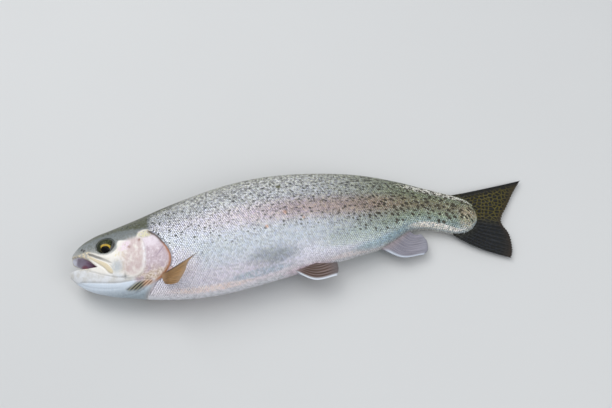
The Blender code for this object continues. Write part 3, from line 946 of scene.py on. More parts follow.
def thinned(points: Array, faces: Array, most: int) -> tuple[Array, Array]:
    """Collapses edges where a mesh is flattest.

    Args:
        points: its points.
        faces: rows of point numbers, a fourth number of -1 marking a triangle.
        most: how many triangles it may keep.

    Returns:
        The new points, and rows of three point numbers.
    """
    mesh = bpy.data.meshes.new("thinning")
    mesh.from_pydata(points.tolist(), [], [tuple(f for f in face if f >= 0) for face in faces.tolist()])
    obj = linked("thinning", mesh)
    modifier = obj.modifiers.new("thin", "DECIMATE")
    triangles = sum(len(polygon.vertices) - 2 for polygon in mesh.polygons)
    modifier.ratio = min(1.0, most / triangles)
    modifier.use_collapse_triangulate = True
    done = obj.evaluated_get(bpy.context.evaluated_depsgraph_get()).to_mesh()
    done.calc_loop_triangles()
    kept = np.zeros(len(done.vertices) * 3, np.float32)
    done.vertices.foreach_get("co", kept)
    corners = np.zeros(len(done.loop_triangles) * 3, np.int32)
    done.loop_triangles.foreach_get("vertices", corners)
    bpy.data.objects.remove(obj)
    bpy.data.meshes.remove(mesh)
    return kept.reshape(-1, 3).astype(float), corners.reshape(-1, 3)


@dataclass
class FishSkin:
    """One skin over head, jaws, mouth, tongue, trunk and tail stem."""

    head: HeadField
    dresser: Dresser
    ring_spacing: float = 6.0
    last_rings: tuple[float, ...] = (431.0, 434.0, 436.5, 438.2, 439.2, 439.6)
    most_triangles: int = 188000
    floor: float = 0.3  # scales lie between the skin and the floor
    mouth_end: float = 75.0
    replaced: tuple[str, ...] = (
        "head", "lower_jaw", "throat", "tongue", "maxilla_left", "maxilla_right", "gill_cover_left",
        "gill_cover_right", "trunk_front", "trunk_rear", "tail_stem",
    )

    def build(self) -> Object:
        """Builds the skin and hides the imported parts that it replaces.

        Returns:
            The finished object.
        """
        form = self.head.form
        points, quads = self.head.mesh()
        ring = ring_of(quads)
        s, u, v = points[ring].T
        middle, high, wide, _ = form.frames(s, form.is_above(s, u))
        turn = np.arctan2(v / wide, (u - middle) / high)
        joint = self.head.rear - self.head.step / 2
        end = self.last_rings[0]
        count = math.ceil((end - joint) / self.ring_spacing)
        stations = np.append(np.linspace(joint, end, count, endpoint=False), self.last_rings)
        points[ring] = form.surface(stations[0], turn)
        loose_end = self.head.rear - 2 * self.head.step
        loose = points[:, 0] < loose_end
        loose[ring] = False
        points[loose] = self.head.snapped(points[loose])
        rings = [form.surface(s, turn) for s in stations[1:]]
        numbers = [ring] + [len(points) + k * len(ring) + np.arange(len(ring)) for k in range(len(rings))]
        tip = len(points) + len(rings) * len(ring)
        tube = np.concatenate([
            np.column_stack((np.roll(a, -1), a, b, np.roll(b, -1))) for a, b in zip(numbers[:-1], numbers[1:])
        ])
        last = numbers[-1]
        cap = np.column_stack((np.roll(last, -1), last, np.full(len(last), tip), np.full(len(last), -1)))
        points = np.concatenate([points, *rings, rings[-1].mean(0)[None]])
        points, triangles = thinned(points, np.concatenate([quads, tube, cap]), self.most_triangles)
        loose = points[:, 0] < loose_end
        points[loose] = self.head.snapped(points[loose])
        skin = self.dresser.build("skin", points, triangles, self.floor)
        self.dresser.mark(skin, points, self.lining(points))
        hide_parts(*self.replaced)
        return skin

    def lining(self, points: Array) -> Array:
        """Share of the mouth's lining at each point: 0 on the outer skin, 1 well inside the mouth."""
        return ease(-1.2, -3.2, self.head.form.depth(*points.T)) * (points[:, 0] < self.mouth_end)


@dataclass
class ScaleCoat:
    """The scales of the trunk and tail stem, thin domed plates that overlap towards the tail."""

    form: BodyForm
    dresser: Dresser
    lines: HeadLines
    along: float = 2.2  # spacing of scales down the body
    round: float = 1.95  # spacing of rows round it
    slant: float = 0.4  # how far each row is shifted against the last, in spacings
    length: float = 4.2
    breadth: float = 2.85
    rise: float = 0.36  # height of a scale's free edge over the skin
    dome: float = 0.13
    inner: Pair = (0.55, 0.75)  # size of the inner ring, and its share of the dome
    square: float = 0.85  # under 1 makes a scale's sides straighter
    sink: float = 0.06  # how deep its hidden edge is let in
    hidden: float = 0.4  # share of its length in front of its root
    corners: int = 9
    first: float = 78.0
    last: float = 434.0
    parting: float = 232.0
    wander: float = 0.2
    tilt: float = 0.06  # how far scales turn out of line, as a slope
    lean: float = 0.03  # how far scales lean to either side, as a slope
    clear: Pair = (0.6, -2.5)  # behind the head's edge, on the flank and on the nape
    nape: float = 14.0  # level over which places are on the nape
    patch: float = 0.003  # size of one scale's patch in the bake map
    margin: float = 0.02  # round that map

    def template(self) -> tuple[Array, list[Face]]:
        """One scale.

        Returns:
            Rows of (along, across, height, share of its length), and its faces.
        """
        angle = np.arange(self.corners) * 2 * np.pi / self.corners
        rows = []
        for size, lift in ((1.0, 0.0), self.inner):
            along = self.length / 2 * (1 + size * np.cos(angle))
            across = self.breadth / 2 * size * np.sign(np.sin(angle)) * np.abs(np.sin(angle)) ** self.square
            rows.append(np.column_stack((along, across, np.full(self.corners, lift * self.dome))))
        rows.append(np.array([[self.length / 2, 0, self.dome]]))
        points = np.concatenate(rows)
        share = points[:, 0] / self.length
        points[:, 2] += share * (self.rise + self.sink) - self.sink
        n = self.corners
        faces = [(k, (k + 1) % n, n + (k + 1) % n, n + k) for k in range(n)]
        faces += [(n + k, n + (k + 1) % n, 2 * n) for k in range(n)]
        faces.append(tuple(range(n - 1, -1, -1)))
        return np.column_stack((points, share)), faces

    def turns_at(self, s: Array, girth: Array) -> Array:
        """The turns at which places lie.

        Args:
            s: stations.
            girth: distances round from the ridge of the back.

        Returns:
            The turns.
        """
        stations, turns, arcs = self.form.girths
        place = np.clip(s / (stations[1] - stations[0]), 0, len(stations) - NEXT_TO_LAST)
        row = place.astype(int)
        blend = place - row
        found = np.zeros(s.shape)
        for r in np.unique(row):
            here = row == r
            near, far = (np.interp(girth[here], arcs[r + k], turns) for k in (0, 1))
            found[here] = near * (1 - blend[here]) + far * blend[here]
        return found

    def roots(self) -> Array:
        """Where the scales of the left flank grow.

        Returns:
            Rows of station and distance round from the ridge of the back.
        """
        found = []
        most = math.ceil(self.form.girths[2].max() / self.round)
        for row in range(-most, most + 1):
            s = np.arange(self.first, self.last, self.along) + (row * self.slant % 1) * self.along
            girth = self.form.girth(s, self.form.line_turn(s)) + row * self.round
            bottom = self.form.girth(s, np.full(len(s), math.pi))
            on = (girth > -self.round / 2) & (girth < bottom + self.round / 2)
            found.append(np.column_stack((s, girth))[on])
        return np.concatenate(found)

    def build(self) -> list[Object]:
        """Builds the coat in four pieces.

        Returns:
            The pieces.
        """
        roots = self.roots()
        spread = np.random.default_rng(SEED)
        roots = roots + spread.uniform(-self.wander, self.wander, roots.shape)
        front = roots[:, 0] < self.parting
        lengths = {Length.FRONT: roots[front], Length.REAR: roots[~front]}
        return [self.piece(side, length, lengths[length], spread) for side in Side for length in Length]

    def piece(self, side: Side, length: Length, roots: Array, spread: np.random.Generator) -> Object:
        """Builds one piece of the coat.

        Args:
            side: which flank.
            length: which length of it.
            roots: where its scales grow.
            spread: source of its scales' small differences.

        Returns:
            The piece.
        """
        shape, faces = self.template()
        along, across, high, share = shape.T
        tone = spread.uniform(0, 1, len(roots))
        tilt = spread.normal(0, self.tilt, len(roots))
        lean = spread.normal(0, self.lean, len(roots))
        size = self.size_at(roots)[:, None]
        s = roots[:, :1] + (along - self.length * self.hidden) * size
        arc = roots[:, 1:] + (across + tilt[:, None] * along) * size
        points, normal = self.raised(s, self.turns_at(s, arc))
        lift = (high + lean[:, None] * across) * size
        points = points + normal * lift[..., None]
        keep = self.kept(points)
        points, roots, tone = points[keep], roots[keep], tone[keep]
        flat = points.reshape(-1, 3) * (1, 1, side.value)
        order = faces if side is Side.RIGHT else [face[::-1] for face in faces]
        starts = range(0, len(flat), len(shape))
        all_faces = [tuple(k + start for k in face) for start in starts for face in order]
        obj = self.dresser.build(f"scales_{side.name.lower()}_{length.value}", flat, all_faces)
        self.dresser.mark(obj, flat)
        details = np.stack(np.broadcast_arrays(share, tone[:, None], 0), -1)
        self.dresser.vectors(obj.data, "scale", details.reshape(-1, 3))
        self.map_patches(obj, roots, shape)
        return obj

    def size_at(self, roots: Array) -> Array:
        """Relative size of the scales: smaller on the nape and towards the tail's end."""
        return 1 - 0.2 * ease(115, 84, roots[:, 0]) - 0.2 * ease(400, 432, roots[:, 0])

    def raised(self, s: Array, turn: Array) -> tuple[Array, Array]:
        """Points of the skin.

        Args:
            s: stations.
            turn: turns round the section.

        Returns:
            The points, and their outward directions.
        """
        step_s, step_turn = 0.4, 0.01
        ahead = self.form.surface(s + step_s, turn) - self.form.surface(s - step_s, turn)
        over = self.form.surface(s, turn + step_turn) - self.form.surface(s, turn - step_turn)
        normal = np.cross(over, ahead)
        normal /= np.linalg.norm(normal, axis=-1, keepdims=True)
        return self.form.surface(s, turn), normal

    def kept(self, points: Array) -> Array:
        """Which scales stay clear of the head and of the pectoral fin's bare base.

        Args:
            points: each scale's points.

        Returns:
            True for those that stay.
        """
        s, u = points[..., 0].min(1), points[..., 1].mean(1)
        flank, nape = self.clear
        behind = -self.lines.read(Layer.AHEAD, s, u) > np.where(u > self.nape, nape, flank)
        return behind & (self.lines.read(Layer.BARE, s + self.length / 2, u) < 0.5)

    def map_patches(self, obj: Object, roots: Array, shape: Array) -> None:
        """Gives each scale its own patch of the bake map, at its root's place on the unrolled skin.

        Args:
            obj: the piece.
            roots: its scales' stations and distances round.
            shape: the template's points.
        """
        low, high = roots.min(0), roots.max(0)
        centre = self.margin + (1 - 2 * self.margin) * (roots - low) / (high - low)
        local = (shape[:, :2] - (self.length / 2, 0)) / (self.length, self.breadth) * self.patch
        spots = (centre[:, None, :] + local[None]).reshape(-1, 2)
        layer = obj.data.uv_layers.new(name="OFBake")
        corners = np.zeros(len(obj.data.loops), np.int32)
        obj.data.loops.foreach_get("vertex_index", corners)
        layer.uv.foreach_set("vector", spots[corners].astype(np.float32).ravel())


@dataclass
class RayedFin:
    """A fin: soft rays that fork towards their tips, with a thin web between them."""

    name: str
    rows: tuple[Rows, ...]  # from base to tips, each from the leading ray to the last
    rays: int
    finish: str
    slot: str
    root: float = 1.2
    edge: float = 0.42
    fork: float = 0.45  # where along their length the rays fork
    fray: float = 0.8  # how far ray tips stand past the web
    ripple: float = 0.5
    across: int = 8  # points across each ray
    along: int = 30

    def spread_row(self, row: Rows, count: int) -> Array:
        """Spreads a number of points evenly along the smooth curve through a row."""
        at, knots = np.linspace(0, 1, count), np.linspace(0, 1, len(row))
        return np.stack([Profile(tuple(zip(knots, values))).at(at) for values in np.array(row, float).T], -1)

    def ray_height(self, x: Array, k: Array) -> Array:
        """Height of the rays over the web.

        Args:
            x: place across the fin, counted in rays.
            k: place along it, 0 at the base and 1 at the tips.

        Returns:
            1 on a ray, 0 between rays.
        """
        nearest = np.round(x)
        part = np.clip((k - self.fork) / (1 - self.fork), 0, 1) * 0.25
        forks = np.where((nearest < 1) | (nearest > self.rays - 2), 0, part)
        off = np.abs(x - nearest)
        return bump(off - forks, 0.17 - 0.05 * k)

    def build(self, dresser: Dresser) -> Object:
        """Builds the fin as one closed plate.

        Args:
            dresser: lays it down.

        Returns:
            The fin.
        """
        n, m = (self.rays - 1) * self.across + 1, self.along
        spread_rows = [self.spread_row(row, n) for row in self.rows]
        sheet = np.array([self.spread_row(tuple(row[i] for row in spread_rows), m) for i in range(n)])
        x = np.linspace(0, self.rays - 1, n)[:, None]
        k = np.linspace(0, 1, m)[None, :]
        ray = self.ray_height(x, k)
        down = np.gradient(sheet, axis=1)
        length = np.linalg.norm(down, axis=2, keepdims=True)
        sheet = sheet + down / length * ((ray - 0.5) * self.fray * ease(0.8, 1, k))[..., None]
        normal = np.cross(np.gradient(sheet, axis=0), np.gradient(sheet, axis=1))
        normal /= np.linalg.norm(normal, axis=2, keepdims=True)
        wave = self.ripple * np.sin(x * 1.1 + 1.7 * k + len(self.name)) * ease(0.1, 1, k)
        sheet = sheet + normal * wave[..., None]
        fleshy = self.edge + (self.root - self.edge) * (1 - k) ** 1.4
        half = fleshy * (0.5 + 0.5 * np.maximum(ray, ease(0.3, 0, k)))
        half = half * ease(-1.2, 0.35, np.minimum(x, self.rays - 1 - x))
        thick = half[..., None] * normal
        points = np.concatenate([(sheet + thick).reshape(-1, 3), (sheet - thick).reshape(-1, 3)])
        i, j = np.meshgrid(np.arange(n - 1), np.arange(m - 1), indexing="ij")
        a = (i * m + j).ravel()
        top = np.column_stack((a, a + m, a + m + 1, a + 1))
        rim = np.concatenate([
            np.arange(m), np.arange(1, n) * m + m - 1, (n - 1) * m + np.arange(m - 2, -1, -1),
            np.arange(n - 2, 0, -1) * m,
        ])
        ahead = np.roll(rim, -1)
        sides = np.column_stack((rim, ahead, ahead + n * m, rim + n * m))
        fin = dresser.build(self.name + "_web", points, np.concatenate([top, top[:, ::-1] + n * m, sides]))
        places = np.stack(np.broadcast_arrays(x / (self.rays - 1), k, ray), -1).reshape(-1, 3)
        dresser.vectors(fin.data, "web", np.concatenate([places, places]))
        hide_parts(self.name)
        return fin


@dataclass
class TroutEye:
    """An eyeball, turned down towards the belly, with a low clear bulge over its iris."""

    seat: EyeSeat
    side: Side
    turned: float = 44.0  # degrees from straight out towards the belly
    backward: float = 7.0  # degrees towards the tail
    bulge: float = 0.5
    lens: float = 0.25  # how much further the pupil bulges
    pupil: float = 29.0  # degrees from the gaze to the pupil's edge
    dip: float = 0.35  # depth of the ring round the pupil
    rings: int = 64
    spokes: int = 72

    def build(self, dresser: Dresser) -> Object:
        """Builds the eyeball.

        Args:
            dresser: lays it down.

        Returns:
            The eyeball.
        """
        down, on = math.radians(self.turned), math.radians(self.backward)
        gaze = np.array((math.sin(on), -math.sin(down) * math.cos(on), math.cos(down) * math.cos(on)))
        back = np.cross((0, 1, 0), gaze)
        back /= np.linalg.norm(back)
        up = np.cross(gaze, back)
        polar = np.linspace(0, math.pi, self.rings + 1)[1:-1]
        spin = np.arange(self.spokes) * 2 * math.pi / self.spokes
        polar, spin = (grid.ravel() for grid in np.meshgrid(polar, spin, indexing="ij"))
        polar, spin = np.append(polar, (0, math.pi)), np.append(spin, (0, 0))
        around = np.outer(np.cos(spin), back) + np.outer(np.sin(spin), up)
        way = np.outer(np.cos(polar), gaze) + around * np.sin(polar)[:, None]
        angle = np.degrees(polar)
        swell = self.bulge * bump(angle, 42) + self.lens * bump(angle, self.pupil * 0.8)
        swell -= self.dip * bump(angle - self.pupil - 3, 4)
        points = np.array(self.seat.centre) + way * self.seat.half + way * swell[:, None]
        points = points * (1, 1, self.side.value)
        faces = self.net() if self.side is Side.LEFT else [face[::-1] for face in self.net()]
        name = "eye_" + self.side.name.lower()
        eye = dresser.build(name + "_ball", points, faces)
        dresser.vectors(eye.data, "gaze", np.column_stack((angle / 90, np.cos(spin), np.sin(spin))))
        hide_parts(name)
        return eye

    def net(self) -> list[Face]:
        """Lists the eyeball's faces.

        Returns:
            Bands of quads, and a fan of triangles at each end.
        """
        m, count = self.spokes, self.rings - 1
        faces = [
            (r * m + k, (r + 1) * m + k, (r + 1) * m + (k + 1) % m, r * m + (k + 1) % m)
            for r in range(count - 1) for k in range(m)
        ]
        first, last = count * m, count * m + 1
        faces += [(first, k, (k + 1) % m) for k in range(m)]
        base = (count - 1) * m
        faces += [(base + (k + 1) % m, base + k, last) for k in range(m)]
        return faces


# ---- finishes


class Wiring:
    """A material and shorthand for joining its nodes."""

    def __init__(self, name: str) -> None:
        """Starts a material that holds one Principled shader."""
        self.material = bpy.data.materials.new(name)
        self.material.use_nodes = True

    def feed(self, socket: Socket, value: Value) -> None:
        """Links a socket to another, or sets its value.

        Args:
            socket: the socket.
            value: what it takes; a colour gets full opacity.
        """
        if isinstance(value, Socket):
            self.material.node_tree.links.new(value, socket)
        elif isinstance(value, tuple) and len(socket.default_value) == 4:
            socket.default_value = (*value, 1)
        else:
            socket.default_value = value

    def feed_named(self, node: bpy.types.Node, values: dict[str, Value | str]) -> None:
        """Feeds or sets a node.

        Args:
            node: the node.
            values: what its sockets take, with underscores in their names, and its lower-case properties.
        """
        for name, value in values.items():
            if name.islower():
                setattr(node, name, value)
            else:
                self.feed(node.inputs[name.replace("_", " ")], value)

    def node(self, kind: str, *inputs: Value, **named: Value | str) -> bpy.types.Node:
        """Adds a node.

        Args:
            kind: its type.
            *inputs: what its first sockets take.
            **named: what its other sockets take, and its lower-case properties.

        Returns:
            The node.
        """
        made = self.material.node_tree.nodes.new(kind)
        self.feed_named(made, named)
        for socket, value in zip(made.inputs, inputs):
            self.feed(socket, value)
        return made

    def attribute(self, name: str) -> Socket:
        """A stored vector."""
        return self.node("ShaderNodeAttribute", attribute_name=name).outputs["Vector"]

    def parts(self, vector: Socket) -> tuple[Socket, ...]:
        """The three numbers of a vector."""
        return tuple(self.node("ShaderNodeSeparateXYZ", vector).outputs)

    def read(self, name: str) -> tuple[Socket, ...]:
        """The three numbers of a stored vector."""
        return self.parts(self.attribute(name))

    def math(self, operation: str, *numbers: Value) -> Socket:
        """A named operation on numbers."""
        return self.node("ShaderNodeMath", *numbers, operation=operation).outputs[0]

    def plus(self, a: Value, b: Value) -> Socket:
        """The sum of two numbers."""
        return self.math("ADD", a, b)

    def minus(self, a: Value, b: Value) -> Socket:
        """The first number less the second."""
        return self.math("SUBTRACT", a, b)

    def times(self, *numbers: Value) -> Socket:
        """The product of numbers."""
        return reduce(lambda a, b: self.math("MULTIPLY", a, b), numbers)

    def scaled(self, value: Socket, by: float, more: Value) -> Socket:
        """A number multiplied by another, with a third added."""
        return self.math("MULTIPLY_ADD", value, by, more)

    def less(self, a: Value, b: Value) -> Socket:
        """1 where the first number is the less, or else 0."""
        return self.math("LESS_THAN", a, b)

    def greater(self, a: Value, b: Value) -> Socket:
        """The greater of two numbers."""
        return self.math("MAXIMUM", a, b)

    def ease(self, low: float, high: float, value: Socket, top: float = 1.0) -> Socket:
        """Rises smoothly from 0 at low to top at high; falls where low is the greater."""
        ends = (low, high, 0.0, top) if low < high else (high, low, top, 0.0)
        return self.node("ShaderNodeMapRange", value, *ends, interpolation_type="SMOOTHSTEP").outputs[0]

    def near(self, at: tuple[Socket, Socket], oval: Oval, top: float = 1.0) -> Socket:
        """Share of a soft oval, with top in its middle, at a place given by two values."""
        over = [self.times(self.minus(a, middle), 1 / half) for a, middle, half in zip(at, *oval)]
        return self.ease(1.3, 0.2, self.plus(*(self.times(a, a) for a in over)), top)

    def mix(self, share: Value, a: Value, b: Value, blend: str = "MIX") -> Socket:
        """A mix of two colours.

        Args:
            share: how much of the second it takes.
            a: the first colour.
            b: the second colour.
            blend: how they mix.

        Returns:
            The colour.
        """
        made = self.node("ShaderNodeMix", share, data_type="RGBA", blend_type=blend)
        for socket, colour in zip(made.inputs[6:8], (a, b)):  # those that take colours
            self.feed(socket, colour)
        return made.outputs[2]

    def over(self, colour: Value, paint: Value, *shares: Value) -> Socket:
        """Paint laid over a colour by the product of shares."""
        return self.mix(self.times(*shares), colour, paint)

    def ramp(self, value: Socket, stops: Bands) -> Socket:
        """A colour that changes with a value.

        Args:
            value: what it reads.
            stops: values and the colours there, rising.

        Returns:
            The colour.
        """
        made = self.node("ShaderNodeValToRGB", value)
        elements = made.color_ramp.elements
        for place, (at, colour) in enumerate(stops):
            element = elements[place] if place < 2 else elements.new(at)
            element.position = at
            element.color = (*colour, 1)
        return made.outputs[0]

    def shaded(self, colour: Socket, value: Socket, dark: Pair, light: Pair, share: float) -> Socket:
        """Shades a colour by a value; dark and light are each a value and the grey that it gives."""
        greys = tuple((at, (grey, grey, grey)) for at, grey in (dark, light))
        return self.mix(share, colour, self.ramp(value, greys), "OVERLAY")

    def stretched(self, vector: Socket, by: Triple) -> Socket:
        """A vector with its parts multiplied."""
        return self.node("ShaderNodeVectorMath", vector, by, operation="MULTIPLY").outputs[0]

    def noise(self, place: Socket, scale: float, detail: float = 3.0) -> Socket:
        """Soft noise from 0 to 1; detail counts its finer layers."""
        return self.node("ShaderNodeTexNoise", Vector=place, Scale=scale, Detail=detail).outputs["Fac"]

    def stirred(self, place: Socket, scale: float, by: float) -> Socket:
        """A place pushed about by noise, as far as by."""
        push = self.node("ShaderNodeTexNoise", Vector=place, Scale=scale).outputs["Color"]
        return self.node("ShaderNodeVectorMath", push, (by,) * 3, place, operation="MULTIPLY_ADD").outputs[0]

    def cells(self, place: Socket, scale: float) -> tuple[Socket, Socket, Socket]:
        """Cells scattered over a flat pattern.

        Args:
            place: where they are read.
            scale: how fine they are.

        Returns:
            Distance from their middles, and two numbers of each cell's own.
        """
        made = self.node("ShaderNodeTexVoronoi", Vector=place, Scale=scale, voronoi_dimensions="2D")
        own = self.node("ShaderNodeSeparateColor", made.outputs["Color"]).outputs
        return made.outputs["Distance"], own[0], own[1]

    def net(self, place: Socket, scale: float) -> Socket:
        """Distance from the borders of such cells."""
        kind = {"voronoi_dimensions": "2D", "feature": "DISTANCE_TO_EDGE"}
        return self.node("ShaderNodeTexVoronoi", Vector=place, Scale=scale, **kind).outputs["Distance"]

    def raise_by(self, height: Socket, strength: float) -> None:
        """Raises the surface by a fine height pattern."""
        made = self.node("ShaderNodeBump", Strength=strength, Distance=FINE_RELIEF, Height=height)
        self.set(Normal=made.outputs["Normal"])

    def set(self, **values: Value) -> None:
        """Feeds or sets the shader's sockets, their names written with underscores."""
        self.feed_named(self.material.node_tree.nodes["Principled BSDF"], values)


@dataclass(frozen=True)
class Place:
    """Where the markings are read."""

    body: Socket  # on the straight fish, in centimetres
    s: Socket  # along it
    u: Socket  # across it
    lane: Socket  # height in the pattern, from -1 at the belly to 1 at the back
    height: Socket  # the same from 0 to 1, a little uneven


@dataclass(frozen=True)
class Patch:
    """An oval of colour on the flank: middle and half sizes, along the body and in the pattern's height."""

    s: float
    lane: float
    length: float
    height: float
    colour: Colour
    share: float
    speckled: bool = False

    @property
    def oval(self) -> Oval:
        """The oval in centimetres along the body and the pattern's height."""
        return (self.s * SCALE_OF_BODY, self.lane), (self.length * SCALE_OF_BODY, self.height)


@dataclass(frozen=True)
class TroutMarkings:
    """The fish's colours and spots, with some painted highlights and painted shade, shared by its skin and its
    scales.
    """

    front_bands: Bands = (  # from the belly to the back
        (0.0, (0.70, 0.71, 0.75)), (0.10, (0.78, 0.72, 0.76)), (0.20, (0.74, 0.72, 0.80)),
        (0.36, (0.58, 0.62, 0.67)), (0.46, (0.57, 0.59, 0.64)), (0.54, (0.58, 0.57, 0.62)),
        (0.62, (0.56, 0.57, 0.59)), (0.76, (0.60, 0.60, 0.58)), (0.86, (0.50, 0.50, 0.44)),
        (0.93, (0.23, 0.235, 0.16)), (1.0, (0.11, 0.115, 0.07)),
    )
    rear_bands: Bands = (
        (0.0, (0.40, 0.38, 0.35)), (0.08, (0.35, 0.38, 0.39)), (0.2, (0.25, 0.32, 0.34)),
        (0.36, (0.23, 0.28, 0.21)), (0.5, (0.23, 0.20, 0.13)), (0.64, (0.20, 0.22, 0.14)),
        (0.85, (0.16, 0.18, 0.11)), (1.0, (0.09, 0.10, 0.06)),
    )
    crown_bands: Bands = (
        (0.35, (0.46, 0.45, 0.42)), (0.46, (0.24, 0.26, 0.26)), (0.56, (0.18, 0.20, 0.205)),
        (0.66, (0.19, 0.21, 0.21)), (0.78, (0.10, 0.105, 0.07)), (1.0, (0.05, 0.05, 0.03)),
    )
    blush: Bands = (  # of the pink band, along the fish in shares of half a metre
        (0.25, (0.68, 0.55, 0.63)), (0.42, (0.54, 0.42, 0.44)), (0.52, (0.46, 0.34, 0.31)),
        (0.7, (0.31, 0.22, 0.15)),
    )
    tints: Bands = ((0.36, (0.45, 0.46, 0.56)), (0.64, (0.55, 0.54, 0.43)))
    lining: Bands = (  # of the mouth, from the lips back
        (0.03, (0.74, 0.75, 0.83)), (0.09, (0.64, 0.57, 0.68)), (0.15, (0.50, 0.34, 0.47)),
        (0.22, (0.22, 0.07, 0.12)),
    )
    cover_low: Bands = ((0.36, (0.42, 0.31, 0.22)), (0.5, (0.60, 0.49, 0.40)), (0.66, (0.76, 0.66, 0.58)))
    patches: tuple[Patch, ...] = (
        Patch(205, -0.47, 30, 0.14, (0.30, 0.33, 0.36), 0.6),
        Patch(215, -0.50, 24, 0.10, (0.18, 0.21, 0.24), 0.4, True),
        Patch(84, 0.85, 46, 0.44, (0.12, 0.125, 0.075), 0.92),
        Patch(112, -0.38, 24, 0.20, (0.76, 0.67, 0.73), 0.5),
        Patch(160, -0.58, 46, 0.13, (0.70, 0.63, 0.69), 0.45),
        Patch(240, -0.90, 30, 0.14, (0.64, 0.50, 0.57), 0.7),
        # painted highlights: cream-pink speckles along the belly's edge
        Patch(140, -0.78, 44, 0.08, (0.95, 0.78, 0.71), 0.8, True),
        Patch(300, -0.82, 40, 0.10, (0.80, 0.66, 0.62), 0.5, True),
        # painted highlights: cream speckles along the tail stem's top edge
        Patch(395, 0.55, 42, 0.18, (1.0, 0.94, 0.84), 1.0, True),
        Patch(190, -0.68, 36, 0.08, (0.36, 0.45, 0.52), 0.75, True),
        Patch(206, -0.10, 2.2, 0.022, (0.52, 0.26, 0.12), 0.7),
        Patch(228, 0.04, 2.4, 0.026, (0.58, 0.33, 0.20), 0.7),
        Patch(246, -0.05, 2.0, 0.02, (0.52, 0.29, 0.17), 0.6),
        Patch(227.5, 0.41, 3.0, 0.03, (0.09, 0.09, 0.01), 0.9),
        # painted highlights: cream speckles along the tail stem's lower edge
        Patch(392, -0.68, 34, 0.15, (0.95, 0.85, 0.76), 1.0, True),
        Patch(430, -0.2, 12, 0.6, (0.60, 0.47, 0.33), 0.55, True),
        Patch(300, -0.45, 46, 0.16, (0.36, 0.43, 0.39), 0.5),
        Patch(330, -0.72, 40, 0.16, (0.32, 0.46, 0.52), 0.6),
    )
    fleck: Colour = (0.52, 0.58, 0.47)
    spot: Colour = (0.022, 0.022, 0.018)
    spot_rear: Colour = (0.045, 0.038, 0.022)
    bare: Colour = (0.72, 0.54, 0.53)
    crown_grain: Colour = (0.12, 0.125, 0.09)
    olive: Colour = (0.085, 0.09, 0.05)
    snout: Colour = (0.40, 0.385, 0.36)
    cream: Colour = (0.71, 0.60, 0.40)
    cheek: Colour = (0.86, 0.82, 0.75)
    cheek_pink: Colour = (0.61, 0.485, 0.47)
    cheek_yellow: Colour = (0.80, 0.74, 0.56)
    cheek_bright: Colour = (0.86, 0.70, 0.80)
    bright: Oval = ((5.7, 0.2), (0.9, 0.75))  # of the cheek, in centimetres
    wrinkle: Colour = (0.55, 0.42, 0.38)
    # painted shade of the hollow behind the jaw bone
    dip: Colour = (0.50, 0.53, 0.55)
    lip: Colour = (0.80, 0.81, 0.83)
    lip_grey: Colour = (0.64, 0.62, 0.58)
    jaw: Colour = (0.72, 0.79, 0.87)
    # painted shade low on the jaw's underside, towards the throat
    throat: Colour = (0.32, 0.38, 0.42)
    cover: Colour = (0.55, 0.44, 0.475)
    cover_pale: Colour = (0.80, 0.71, 0.76)
    cover_violet: Colour = (0.42, 0.31, 0.36)
    # painted shade of a fold across the gill cover, dark violet
    cover_crease_shade: Colour = (0.20, 0.12, 0.22)
    crease_at: Pair = (9.6, -0.93)  # middle of the fold on the gill cover, in centimetres
    crease_half: Pair = (0.7, 0.075)
    crease_run: Pair = (0.657, 0.754)  # its direction
    # painted highlight along the preopercle's raised edge
    ridge: Colour = (0.84, 0.82, 0.85)
    gold: Colour = (0.64, 0.60, 0.33)
    gold_grain: Colour = (0.30, 0.30, 0.20)
    ray_spacing: float = 0.26  # of the branchiostegal rays, in centimetres
    ray_slope: float = 0.6
    ray: Colour = (0.035, 0.035, 0.024)
    ray_web: Colour = (0.27, 0.25, 0.16)
    ray_rear: Colour = (0.28, 0.14, 0.07)
    ray_web_rear: Colour = (0.66, 0.43, 0.28)
    rim: Colour = (0.38, 0.13, 0.03)
    rim_high: Colour = (0.09, 0.045, 0.03)
    freckle: Colour = (0.22, 0.07, 0.04)
    # the dark ring round the eye, and painted shade in the head's grooves, creases, nostrils and the slit
    # behind the gill cover
    dark: Colour = (0.045, 0.04, 0.035)
    mouth_red: Colour = (0.42, 0.10, 0.14)
    mouth_corner: Oval = ((1.15, -0.9), (0.4, 0.35))

    def paint(self, w: Wiring) -> tuple[Socket, Socket]:
        """Wires the markings.

        Args:
            w: the material.

        Returns:
            The colour, and the share of silver.
        """
        body = w.attribute("body")
        s, u, _ = w.parts(body)
        lane, head, mouth = w.read("lane")
        wave = w.scaled(w.noise(body, 0.9, 4), 0.16, -0.08)
        at = Place(body, s, u, lane, w.scaled(w.plus(lane, wave), 0.5, 0.5))
        spots = self.spots(w, at)
        colour = w.over(self.flank(w, at), w.mix(w.ease(24, 36, s), self.spot, self.spot_rear), spots)
        colour = w.over(colour, self.face(w, at), head)
        _, bare, _ = w.read("upper")
        colour = w.over(colour, self.bare, bare, w.minus(1.0, head))
        inward = w.minus(w.scaled(w.noise(body, 3.0), 0.08, w.times(s, 0.1)), 0.04)
        lining = w.over(w.ramp(inward, self.lining), self.mouth_red, w.near((s, u), self.mouth_corner, 0.8))
        colour = w.over(colour, lining, mouth)
        return colour, w.times(w.minus(1.0, w.greater(head, mouth)), w.minus(1.0, spots))

